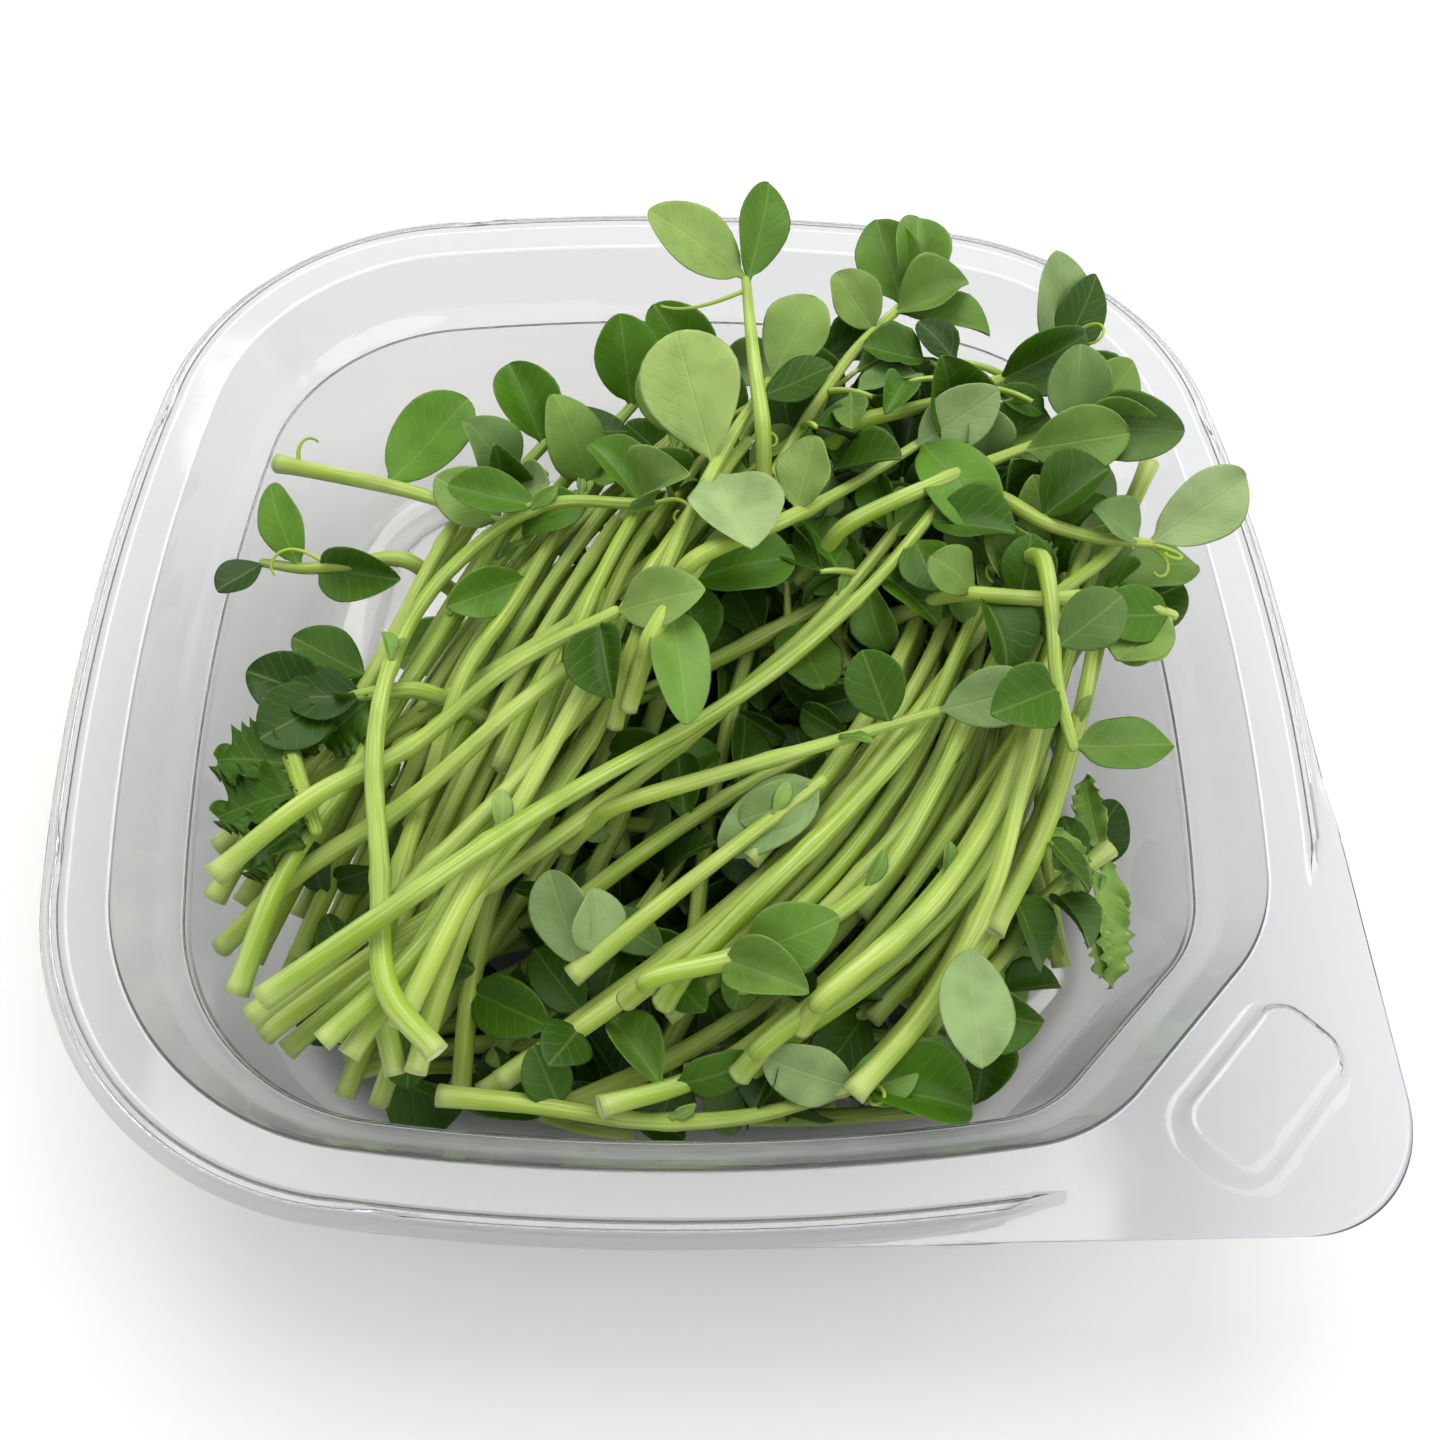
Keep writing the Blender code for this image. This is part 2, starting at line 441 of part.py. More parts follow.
class Heap:
    """What is already in the tray: the height of the topmost stem over each cell of the plan, and the
    points, with their radius and their shoot's number, that everything else keeps clear of."""

    def __init__(self):
        self.cells = int(2 * HALF_SIDE / CELL)
        self.top = np.full((self.cells, self.cells), FLOOR_Z)
        self.points = np.zeros((0, 3))
        self.radii = np.zeros(0)
        self.owners = np.zeros(0, int)

    def cells_under(self, plan, radii):
        """Row and column of the cells under a round bar at each plan point, and half the bar's height over
        each of them, or none past its edge."""
        reach = int(math.ceil(radii.max() / CELL))
        span = np.arange(-reach, reach + 1)
        dx, dy = (grid.ravel() for grid in np.meshgrid(span, span, indexing="ij"))
        base = np.round((plan + HALF_SIDE) / CELL).astype(int)
        rows = np.clip(base[:, :1] + dx[None], 0, self.cells - 1)
        columns = np.clip(base[:, 1:] + dy[None], 0, self.cells - 1)
        square = radii[:, None] ** 2 - (dx ** 2 + dy ** 2)[None] * CELL ** 2
        return rows, columns, np.where(square > 0, np.sqrt(np.maximum(square, 0)) * SLANT, -np.inf)

    def lift(self, route, wanted, radii):
        """Heights for a stem's points, at or above the wanted ones, so that each straight piece between
        them clears what lies below. Over whatever lifts it the stem bends on a parabola."""
        plan, place = fine_line(route)
        index = np.arange(len(route))
        rows, columns, half = self.cells_under(plan, np.interp(place, index, radii) + GAP / 2)
        least = (self.top[rows, columns] + half).max(axis=1) + GAP / 2
        along = np.concatenate(((0.0,), np.cumsum(np.hypot(*np.diff(route, axis=0).T))))
        along_fine = np.interp(place, index, along)
        drop = (along[:, None] - along_fine[None]) ** 2 / (2 * BEND_R)
        z = np.maximum(wanted, (least[None] - drop).max(axis=1))
        for _ in range(RAISE_ROUNDS):
            short = least - np.interp(place, index, z)
            worst = int(np.argmax(short))
            if short[worst] <= 0:
                break
            piece = min(int(place[worst]), len(route) - 2)
            z[piece] += short[worst] * RAISE + RAISE_LEAST
            z[piece + 1] += short[worst] * RAISE + RAISE_LEAST
        return z

    def add_stem(self, points, radii, owner):
        """Records a stem."""
        fine, place = fine_line(points)
        fine_radii = np.interp(place, np.arange(len(points)), radii)
        rows, columns, half = self.cells_under(fine[:, :2], fine_radii + GAP / 2)
        np.maximum.at(self.top, (rows, columns), fine[:, 2:] + half)
        self.add_points(fine, fine_radii, owner)

    def add_points(self, points, radii, owner):
        """Records points that other shoots keep clear of."""
        self.points = np.vstack((self.points, points))
        self.radii = np.concatenate((self.radii, radii))
        self.owners = np.concatenate((self.owners, np.full(len(points), owner)))

    def clear(self, points, owner):
        """True where a leaf's points are clear of every other shoot and inside the tray."""
        if (inset_of(points[:, 0], points[:, 1]) < inset_needed(points[:, 2] - LEAF_THICKNESS)).any():
            return False
        if points[:, 2].min() < FLOOR_Z:
            return False
        reach = 2 * (STEM_R + LEAF_CLEARANCE)
        low = points.min(axis=0) - reach
        high = points.max(axis=0) + reach
        near = ((self.points > low) & (self.points < high)).all(axis=1) & (self.owners != owner)
        if not near.any():
            return True
        apart = points[:, None] - self.points[near][None]
        return (np.sqrt((apart ** 2).sum(axis=2)) - self.radii[near]).min() > LEAF_CLEARANCE


def blade(u, v, length, width, fold, arch):
    """A leaf's surface, from its foot at u = 0 to its tip at u = 1, and from edge to edge as v runs from
    -1 to 1: an egg-shaped outline, creased along the middle and arched from foot to tip."""
    half = 0.5 * width * np.sin(math.pi * np.clip(u, 0, 1) ** WIDEST) ** FULLNESS
    half = np.maximum(half, FOOT_HALF_WIDTH * (1 - u))
    x = length * u
    y = v * half
    z = fold * np.abs(y) + arch * length * np.sin(math.pi * u) - 0.25 * arch * length * u
    return np.stack((x, y, z), axis=-1)


def turned(points, base, heading, pitch, roll):
    """Points of a leaf rolled about its own axis, pitched up, turned to its heading and moved."""
    cr, sr = math.cos(roll), math.sin(roll)
    cp, sp = math.cos(pitch), math.sin(pitch)
    ch, sh = math.cos(heading), math.sin(heading)
    x, y, z = points[..., 0], points[..., 1], points[..., 2]
    y, z = y * cr - z * sr, y * sr + z * cr
    x, z = x * cp - z * sp, x * sp + z * cp
    x, y = x * ch - y * sh, x * sh + y * ch
    return np.stack((x, y, z), axis=-1) + base


def leaf_samples(form):
    """Points about a millimetre apart over a leaf, past its foot."""
    length, width = form[:2]
    u, v = np.meshgrid(np.linspace(FOOT_SHARE, 1, max(4, int(length / LEAF_STEP))),
                       np.linspace(-1, 1, max(3, int(width / LEAF_STEP))), indexing="ij")
    return blade(u, v, *form).reshape(-1, 3)


def place_leaf(heap, stem, share, heading, length, width, owner, draw):
    """Turns a leaf about its foot, least first, until it clears the rest. Gives its form and pose, or
    nothing where there is no room for it."""
    place = share * (len(stem) - 1)
    base = np.array([np.interp(place, np.arange(len(stem)), column) for column in stem.T])
    fold = draw.uniform(*FOLD)
    arch = draw.uniform(*ARCH)
    roll = math.radians(draw.uniform(*ROLL) + FACING * math.cos(math.radians(heading)))
    natural = draw.uniform(*PITCH) + FACING * math.sin(math.radians(heading))
    tries = []
    for size in LEAF_SIZES:
        for lift in LEAF_LIFTS:
            for swing in LEAF_SWINGS:
                cost = abs(lift) / LIFT_UNIT + abs(swing) / SWING_UNIT + (1 - size) * SIZE_COST
                tries.append((cost, size, lift, swing))
    for _, size, lift, swing in sorted(tries):
        form = (length * size, width * size, fold, arch)
        pose = (base, math.radians(heading + swing), math.radians(natural + lift), roll)
        samples = turned(leaf_samples(form), *pose)
        if heap.clear(samples, owner):
            heap.add_points(samples, np.full(len(samples), LEAF_POINT_R), owner)
            return form, pose
    return None


def stem_route(heap, name, depth, hand_points):
    """A single shoot's stem: its plan route kept off the tray's wall, and its height."""
    route = smooth_route(hand_points)
    radii = np.linspace(STEM_R, TIP_R, len(route))
    wanted = heap_top(route[:, 0], route[:, 1]) - depth
    if name == "shoot_top":
        wanted += np.linspace(0, TOP_RISE, len(route))
    short = inset_needed(wanted - STEM_R) + STEM_R - inset_of(route[:, 0], route[:, 1])
    pull = np.maximum(short, 0) / np.hypot(route[:, 0], route[:, 1])
    route = route * (1 - pull[:, None])
    z = heap.lift(route, wanted, radii)
    return np.column_stack((route, z)), radii


def bunch_routes(heap, share, root, heading, reach, count, spread, bow, ends_far):
    """A loose bunch: stems joined side by side, spreading as a fan that is cut short by the tray's wall, at
    a share of the heap's depth."""
    stems = []
    middle = (count - 1) / 2
    straight = np.array((math.cos(math.radians(heading)), math.sin(math.radians(heading))))
    across = np.array((-straight[1], straight[0]))
    for k in range(count):
        start = np.array(root) + BUNCH_PITCH * (k - middle) * across
        aim = math.radians(heading + spread * (k - middle) / (count - 1))
        near = start + BUNCH_STRAIGHT * straight
        far = near + reach * np.array((math.cos(aim), math.sin(aim)))
        while inset_of(*far) < BUNCH_INSET:
            far = near + (far - near) * BUNCH_SHORTEN
        route = smooth_route((start, near, (near + far) / 2 + bow * across, far), BUNCH_POINTS)
        deepest = FLOOR_Z + STEM_R
        wanted = deepest + (heap_top(route[:, 0], route[:, 1]) - BUNCH_COVER - deepest) * share
        ends = (BUNCH_ROOT_R, STEM_R) if ends_far else (STEM_R, TIP_R)
        radii = np.linspace(*ends, BUNCH_POINTS)
        stems.append((route, heap.lift(route, wanted, radii), radii))
    shared = max(z[:2].max() for _, z, _ in stems)
    made = []
    for k, (route, z, radii) in enumerate(stems):
        z[:2] = shared + BUNCH_STAGGER * (-1) ** k
        made.append((np.column_stack((route, z)), radii))
    return made


def lay_out():
    """Places every stem, lowest first, and then every leaf. Gives, for each node, its stems and leaves."""
    heap = Heap()
    draw = np.random.default_rng(20)
    nodes = {}
    for owner, (name, *shape) in enumerate(BUNCHES, start=1):
        stems = bunch_routes(heap, *shape)
        for stem, radii in stems:
            heap.add_stem(stem, radii, owner)
        nodes[name] = (owner, stems, [])
    for owner, (name, depth, hand_points, _) in enumerate(SHOOTS, start=len(BUNCHES) + 1):
        stem, radii = stem_route(heap, name, depth, hand_points)
        heap.add_stem(stem, radii, owner)
        nodes[name] = (owner, [(stem, radii)], [])
    for name, share, heading, length, width in LEAVES:
        owner, stems, leaves = nodes[name]
        leaves.append(place_leaf(heap, stems[0][0], share, heading, length, width, owner, draw))
    for name, _, _, pairs in SHOOTS:
        owner, stems, leaves = nodes[name]
        add_leaves(heap, stems[0][0], 2 * pairs, owner, leaves, draw)
    for name, *_, ends_far in BUNCHES:
        owner, stems, leaves = nodes[name]
        for stem, _ in stems:
            add_leaves(heap, stem[::-1] if ends_far else stem, 1, owner, leaves, draw)
    return {name: (stems, [leaf for leaf in leaves if leaf]) for name, (_, stems, leaves) in nodes.items()}


def add_leaves(heap, stem, count, owner, leaves, draw):
    """Leaves along the last third of a stem, on one side and the other in turn."""
    ahead = stem[-1] - stem[-3]
    heading = math.degrees(math.atan2(ahead[1], ahead[0]))
    for k in range(count):
        side = 1 - 2 * (k % 2)
        share = 1 - PAIR_STEP * (k // 2 + draw.uniform(0, PAIR_SHIFT))
        swing = side * draw.uniform(*PAIR_SWING)
        length = draw.uniform(*PAIR_LENGTH)
        width = length * draw.uniform(*PAIR_SLIMNESS)
        leaves.append(place_leaf(heap, stem, share, heading + swing, length, width, owner, draw))


def stem_object(name, points, radii, sides, collection):
    """A stem as a round bar along its points, thinner towards the tip, with flat ends."""
    curve = bpy.data.curves.new(name, "CURVE")
    curve.dimensions = "3D"
    curve.bevel_depth = MM
    curve.bevel_resolution = (sides - 4) // 2
    curve.use_fill_caps = True
    spline = curve.splines.new("POLY")
    spline.points.add(len(points) - 1)
    for point, place, radius in zip(spline.points, points, radii):
        point.co = (*(place * MM), 1.0)
        point.radius = radius
    guide = bpy.data.objects.new(name, curve)
    collection.objects.link(guide)
    mesh = bpy.data.meshes.new_from_object(guide.evaluated_get(bpy.context.evaluated_depsgraph_get()))
    weld = bmesh.new()
    weld.from_mesh(mesh)
    bmesh.ops.remove_doubles(weld, verts=weld.verts, dist=WELD)
    bmesh.ops.recalc_face_normals(weld, faces=weld.faces)
    weld.to_mesh(mesh)
    weld.free()
    place = guide.matrix_world.copy()
    bpy.data.objects.remove(guide)
    bpy.data.curves.remove(curve)
    made = bpy.data.objects.new(name, mesh)
    made.matrix_world = place
    collection.objects.link(made)
    return made


def leaf_object(name, form, pose, collection):
    """A leaf: stations of three points between a narrow foot and a pointed tip, given its thickness."""
    stations = LONG_STATIONS if form[0] >= LONG_LEAF else SHORT_STATIONS
    u = np.array((0.0, 0.0) + tuple(s for s in stations for _ in range(3)) + (1.0,))
    v = np.array((-1.0, 1.0) + (-1.0, 0.0, 1.0) * len(stations) + (0.0,))
    vertices = turned(blade(u, v, *form), *pose)
    faces = [(0, 3, 2), (0, 1, 3), (1, 4, 3)]
    for first in range(2, len(u) - 4, 3):
        faces += [(first, first + 1, first + 3), (first + 1, first + 4, first + 3),
                  (first + 1, first + 2, first + 4), (first + 2, first + 5, first + 4)]
    tip = len(u) - 1
    faces += [(tip - 3, tip - 2, tip), (tip - 2, tip - 1, tip)]
    made = new_object(name, vertices, faces, collection)
    solid = bmesh.new()
    solid.from_mesh(made.data)
    bmesh.ops.recalc_face_normals(solid, faces=solid.faces)
    bmesh.ops.solidify(solid, geom=solid.faces[:], thickness=LEAF_THICKNESS * MM)
    bmesh.ops.recalc_face_normals(solid, faces=solid.faces)
    bmesh.ops.triangulate(solid, faces=solid.faces)
    solid.to_mesh(made.data)
    solid.free()
    return made


def largest_body(mesh):
    """Keeps a mesh's largest body: a loose scrap goes, and a sealed hollow is filled."""
    shape = bmesh.new()
    shape.from_mesh(mesh)
    unseen = set(shape.faces)
    bodies = []
    while unseen:
        body = [unseen.pop()]
        for face in body:
            for edge in face.edges:
                for other in edge.link_faces:
                    if other in unseen:
                        unseen.remove(other)
                        body.append(other)
        bodies.append(body)
    bodies.sort(key=len, reverse=True)
    for body in bodies[1:]:
        bmesh.ops.delete(shape, geom=body, context="FACES")
    shape.to_mesh(mesh)
    shape.free()


def joined_shoots(name, stems, leaves, sides, parts, pieces):
    """One node: its stems and leaves joined into a single closed body."""
    first = stem_object(name, *stems[0], sides, parts)
    for k, (points, radii) in enumerate(stems[1:]):
        stem_object(f"{name}_stem_{k}", points, radii, sides, pieces)
    for k, leaf in enumerate(leaves):
        leaf_object(f"{name}_leaf_{k}", *leaf, pieces)
    if pieces.objects:
        union = first.modifiers.new("join", "BOOLEAN")
        union.operation = "UNION"
        union.operand_type = "COLLECTION"
        union.collection = pieces
        union.solver = "MANIFOLD"
        apply_modifiers(first)
        for piece in list(pieces.objects):
            bpy.data.objects.remove(piece)
    largest_body(first.data)
    first.data.shade_smooth()
    first.data.set_sharp_from_angle(angle=SHARP_ANGLE)
    return first


def material(name, colour, roughness, alpha=1.0):
    """A plain finish."""
    made = bpy.data.materials.new(name)
    made.use_nodes = True
    surface = made.node_tree.nodes["Principled BSDF"]
    surface.inputs["Base Color"].default_value = colour
    surface.inputs["Roughness"].default_value = roughness
    surface.inputs["Metallic"].default_value = 0.0
    surface.inputs["Alpha"].default_value = alpha
    return made


def main():
    for old in list(bpy.data.objects):
        bpy.data.objects.remove(old)
    parts = bpy.data.collections.new("pea_shoot_tray")
    cutters = bpy.data.collections.new("cutters")
    pieces = bpy.data.collections.new("pieces")
    for collection in (parts, cutters, pieces):
        bpy.context.scene.collection.children.link(collection)
    clear_plastic = material("clear_plastic", (0.86, 0.89, 0.90, 1.0), 0.12, 0.4)
    tray = make_tray(parts, cutters)
    tray.data.materials.append(clear_plastic)
    for name, (stems, leaves) in lay_out().items():
        sides = 6 if name.startswith("shoot") else 4
        node = joined_shoots(name, stems, leaves, sides, parts, pieces)
        colour = STEM_GREEN if name.startswith("shoot") else LEAF_GREEN
        node.data.materials.clear()
        node.data.materials.append(material(f"{name}_green", colour, 0.5))
    bpy.data.collections.remove(pieces)


main()
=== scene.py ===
"""The finished look of cut pea shoots heaped in a clear, shallow, square deli tray.

Lengths are in millimetres and become metres where a mesh is made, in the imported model's frame: the origin is
the middle of the tray's underside, X right, Y back, Z up. The first half works out where every stem and leaf
lies, by the same rule and the same seed as the solids. The second half grows each of them as a surface on a
grid: a ring of points carried from a foot to a tip, closed to a point at both ends.
"""
import math

import bpy
import numpy as np
from mathutils import Matrix


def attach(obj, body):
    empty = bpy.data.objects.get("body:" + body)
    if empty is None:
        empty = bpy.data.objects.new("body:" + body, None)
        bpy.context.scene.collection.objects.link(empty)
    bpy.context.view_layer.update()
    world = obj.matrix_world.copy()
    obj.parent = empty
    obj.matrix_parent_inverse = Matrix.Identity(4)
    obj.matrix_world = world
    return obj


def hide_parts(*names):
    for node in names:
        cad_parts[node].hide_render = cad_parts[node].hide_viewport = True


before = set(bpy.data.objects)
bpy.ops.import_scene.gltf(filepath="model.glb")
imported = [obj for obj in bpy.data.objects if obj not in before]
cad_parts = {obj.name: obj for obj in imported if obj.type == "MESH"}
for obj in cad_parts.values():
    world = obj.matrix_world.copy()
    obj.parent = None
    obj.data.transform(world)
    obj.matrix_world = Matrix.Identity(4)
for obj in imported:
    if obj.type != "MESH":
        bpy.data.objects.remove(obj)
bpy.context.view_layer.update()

MM = 0.001

# Tray
HALF_SIDE = 95.0          # middle of a side, from the centre
SIDE_BOW_R = 345.0        # each side bulges on this radius
CORNER_R = 51.7
TAB_CORNER_R = 17.3
TAB_LEAN = math.radians(0.5)
WELL_CUT = 88.6           # centre to the cut corner of the well, along the diagonal
WELL_BEND_R = 20.2
WELL_INSET = 15.6         # outline to the edge of the well
RIM_Z = 50.0
WALL = 0.7
SIDE_SEGMENTS = 14        # on each half side
CORNER_SEGMENTS = 48
TAB_POINTS = 161          # round the quarter with the tab, closest together by the button
LIP_RINGS = 18            # outline to bead
BEAD_RINGS = 16
LEDGE_RINGS = 20          # bead to the edge of the well
BEAD_INSET = (1.2, 3.7)   # the bead's two feet,
BEAD_TOP = (1.9, 2.9)     # and its top between
BEAD_RISE = 0.9
LIP_DROP = 0.9
LIP_INSET = 1.5           # where the outer lip ends
LEDGE_INSET = 9.0
SHEET = 0.5               # thickness of the drawn sheet up at the flange, a wall's thickness at the foot
BEAD_FROM = 93.6          # along the tab's diagonal, where the bead stops on either side of the tab
BEAD_FADE = 1.0           # to either side of that line
TAB_FROM = 90.0           # and where the outer lip rises to the tab's level
TAB_FADE = 3.0
FOOT_RISE = 1.3           # of the floor over the foot ring
FLOOR_RINGS = 5

# Raised button on the tab
BUTTON_X = 74.5
BUTTON_Y = -76.0
BUTTON_HALF_LENGTH = 13.8
BUTTON_HALF_WIDTH = 7.6
BUTTON_CORNER_R = 5.6
BUTTON_RISE = 2.6
BUTTON_SLOPE = 1.6        # how far the top is set in from the foot

# Profile of the well, from the flange to the floor: inset, height over the rim, radius that rounds the corner
WELL_PROFILE = (
    (9.0, 0.0, 0), (9.6, 0.0, 0.5), (10.9, -3.5, 0.9), (13.2, -9.5, 1.4), (WELL_INSET, -11.9, 1.0),
    (16.6, -13.4, 0.9), (20.8, 7.0 - RIM_Z, 1.6), (22.6, 2.4 - RIM_Z, 1.8), (27.0, WALL - RIM_Z, 1.6),
    (31.0, WALL - RIM_Z, 0.7), (32.6, WALL + FOOT_RISE - RIM_Z, 0.7), (44.0, WALL + FOOT_RISE - RIM_Z, 0),
)

# Heap
PEAK_X = 22.0
PEAK_Y = 38.0
PEAK_Z = 63.0
DOME = 0.0018             # drop, per square millimetre from the peak
FLOOR_Z = 2.6             # lowest underside of a stem
TOP_RISE = 8.0            # how far the topmost shoot's tip stands up out of the heap

# Shoots
STEM_R = 1.55
TIP_R = 0.95
STEM_POINTS = 8           # on the longest stems
STEM_PIECE = 17.0         # a shorter stem has a point about every so often
BEND_R = 30.0             # a stem bends over another on about this radius
GAP = 0.5                 # kept between one shoot and the next
SLANT = 1.08              # a slanting stem is this much taller than it is thick
CELL = 0.5                # of the height map used for stacking
RAISE = 0.6               # share of what a stem lacks in height that each round of raising adds
RAISE_LEAST = 0.02
RAISE_ROUNDS = 200
ROUTE_STEPS = 100         # a plan route is drawn in this many steps before it is rounded
ROUND_REACH = 10          # steps to either side that rounding averages over
ROUND_TIMES = 3

# Leaves
LEAF_THICKNESS = 0.62
WIDEST = 0.85             # the lower, the nearer to its foot a leaf is widest
FULLNESS = 0.8            # the lower, the blunter its ends
FOOT_HALF_WIDTH = 0.5
FOOT_SHARE = 0.12         # of a leaf's length, which may touch its own stem
FOLD = (0.12, 0.45)       # rise of a half blade for each millimetre out from the middle
ARCH = (-0.06, 0.12)      # rise at mid length, as a share of the length
ROLL = (-28, 28)          # degrees
PITCH = (4, 26)           # degrees
FACING = 20.0             # degrees that a leaf leans to the front, where the tray is filled from
LEAF_STEP = 1.3           # between the points that stand for a leaf when it is placed
LEAF_POINT_R = 0.75
LEAF_CLEARANCE = 0.95     # from a leaf's middle surface to another shoot's skin
PAIR_STEP = 0.13          # of the stem's length
PAIR_SHIFT = 0.3          # of that step, the most that a leaf is moved along the stem
PAIR_SWING = (28, 74)     # degrees out from the stem
PAIR_LENGTH = (13, 18)
PAIR_SLIMNESS = (0.62, 0.78)

# Ways a leaf is tried, from its natural place: sizes, lifts and swings in degrees, and what they cost.
LEAF_SIZES = (1.0, 0.82, 0.66)
LEAF_LIFTS = (0, -14, 12, 24, 38, 54)
LEAF_SWINGS = (0, 12, -12, 26, -26, 44, -44)
LIFT_UNIT = 16
SWING_UNIT = 15
SIZE_COST = 9

# Each shoot: name, depth below the heap's top, route in plan from the cut end to the tip, and how many
# pairs of leaves its last third bears.
SHOOTS = (
    ("shoot_lower_a", 13, ((-54, -61), (-29, 2), (-23, 22), (-12, 36)), 0),
    ("shoot_lower_b", 13, ((-35, -70), (-34, -47), (-30, -34), (-8, 14), (0, 38)), 0),
    ("shoot_lower_c", 12, ((-60, -53), (-32, 6), (-2, 40)), 0),
    ("shoot_lower_d", 9, ((63, -36), (57, -39), (42, -56), (33, -62)), 0),
    ("shoot_lower_e", 11, ((-19, -71), (6, -63), (27, -44), (35, -32), (46, -6), (50, 22)), 1),
    ("shoot_left_a", 10, ((-53, -69), (-24, -4), (4, 50)), 1),
    ("shoot_left_b", 9, ((-68, -48), (-44, -4), (-10, 44)), 1),
    ("shoot_left_c", 9, ((-60, -64), (-44, -52), (-15, -18), (28, 46)), 2),
    ("shoot_left_d", 8, ((-47, -71), (-35, -45), (16, 48)), 2),
    ("shoot_right_a", 8, ((22, -71), (30, -65), (38, -54), (51, -25), (60, 8)), 2),
    ("shoot_right_b", 7, ((-31, -70), (14, -41), (40, -6), (48, 30)), 2),
    ("shoot_left_e", 7, ((-70, -40), (-55, -17), (-44, 10), (-24, 36)), 2),
    ("shoot_right_c", 6, ((-28, -70), (3, -52), (22, -34), (62, 20)), 2),
    ("shoot_left_f", 4, ((-73, -34), (-61, -25), (-15, -2), (20, 34)), 2),
    ("shoot_front", 5, ((-38, -76), (-14, -77), (10, -75), (22, -72)), 1),
    ("shoot_right_d", 5, ((-14, -76), (6, -68), (25, -53), (66, 2)), 2),
    ("shoot_left_g", 4, ((-62, -63), (-37, -50), (20, -6), (44, 30)), 2),
    ("shoot_left_m", 10, ((-44, -76), (-43, -38), (-37, -16), (-16, 30)), 2),
    ("shoot_left_n", 9, ((-40, -75), (-37, -61), (-4, 22), (4, 34)), 2),
    ("shoot_left_l", 6, ((-73, -44), (-56, -21), (-34, 28)), 2),
    ("shoot_left_o", 6, ((-49, -75), (-38, -58), (-31, -42), (-2, 32)), 2),
    ("shoot_left_j", 5, ((-51, -73), (-34, -56), (-16, -23), (6, 26)), 2),
    ("shoot_left_k", 3, ((-61, -64), (-38, -50), (8, 14)), 2),
    ("shoot_right_k", 6, ((34, -62), (52, -38), (66, 4)), 2),
    ("shoot_right_h", 5, ((-1, -57), (33, -25), (46, 4)), 2),
    ("shoot_right_i", 4, ((10, -55), (30, -38), (38, -27), (58, 12)), 2),
    ("shoot_right_j", 3, ((12, -66), (27, -57), (38, -48), (47, -36), (64, 8)), 2),
    ("shoot_left_h", 3, ((-73, -51), (-28, -26), (-9, -6), (6, 18)), 1),
    ("shoot_right_e", 3, ((-5, -60), (15, -55), (28, -45), (50, -2)), 1),
    ("shoot_right_f", 2, ((10, -67), (26, -56), (44, -35), (60, 6)), 2),
    ("shoot_left_r", 6, ((-65, -61), (-50, -24), (-30, 20)), 0),
    ("shoot_left_end", 7, ((-61, -23), (-54, -39)), 0),
    ("shoot_left_p", 4, ((-39, -69), (-18, -22), (8, 24)), 0),
    ("shoot_right_l", 3, ((18, -62), (26, -57), (41, -42), (62, 10)), 1),
    ("shoot_right_m", 4, ((42, -52), (53, -34), (62, -4)), 0),
    ("shoot_left_i", 1, ((-67, -46), (-37, -22), (-12, -11)), 0),
    ("shoot_left_tip", 4, ((-48, 12), (-65, 13), (-72, 16)), 0),
    ("shoot_left_dark", 8, ((-42, -15), (-55, -16)), 0),
    ("shoot_middle", 1, ((-18, -57), (18, -31)), 0),
    ("shoot_back_left", 3, ((-72, 36), (-60, 31), (-42, 18), (-31, 15)), 0),
    ("shoot_crossing", 0, ((-11, -34), (35, -22)), 0),
    ("shoot_right_end", 2, ((76, 28), (61, -1), (54, -4)), 0),
    ("shoot_big_leaf", 1, ((-9, -15), (12, 38)), 0),
    ("shoot_back_right", 1, ((-6, -15), (28, 50), (37, 60)), 1),
    ("shoot_right_g", 0, ((21, -74), (38, -57), (51, -20)), 0),
    ("shoot_bright_pair", 0, ((0, -5), (13, 4), (23, 17), (36, 26)), 0),
    ("shoot_arch", 0, ((-37, -82), (-46, -34), (-48, -13), (-44, 2), (-40, 10), (-34, 16), (-19, 18),
     (-7, 12)), 0),
    ("shoot_long", 0, ((-56, -66), (-37, -55), (-14, -32), (0, -21), (14, -15), (22, -8), (39, 15)), 0),
    ("shoot_right_leaf", -1, ((40, -3), (46, -6), (58, -7), (71, -2), (73, -5)), 0),
    ("shoot_far_right", -1, ((48, 15), (58, 5), (69, 4)), 0),
    ("shoot_drooping", -1, ((51, -3), (51, -24), (53, -30)), 0),
    ("shoot_mass_a", -1, ((26, 29), (43, 35), (62, 47)), 1),
    ("shoot_mass_b", -2, ((24, 9), (63, 30)), 1),
    ("shoot_top", -3, ((10, 23), (8, 51)), 0),
)

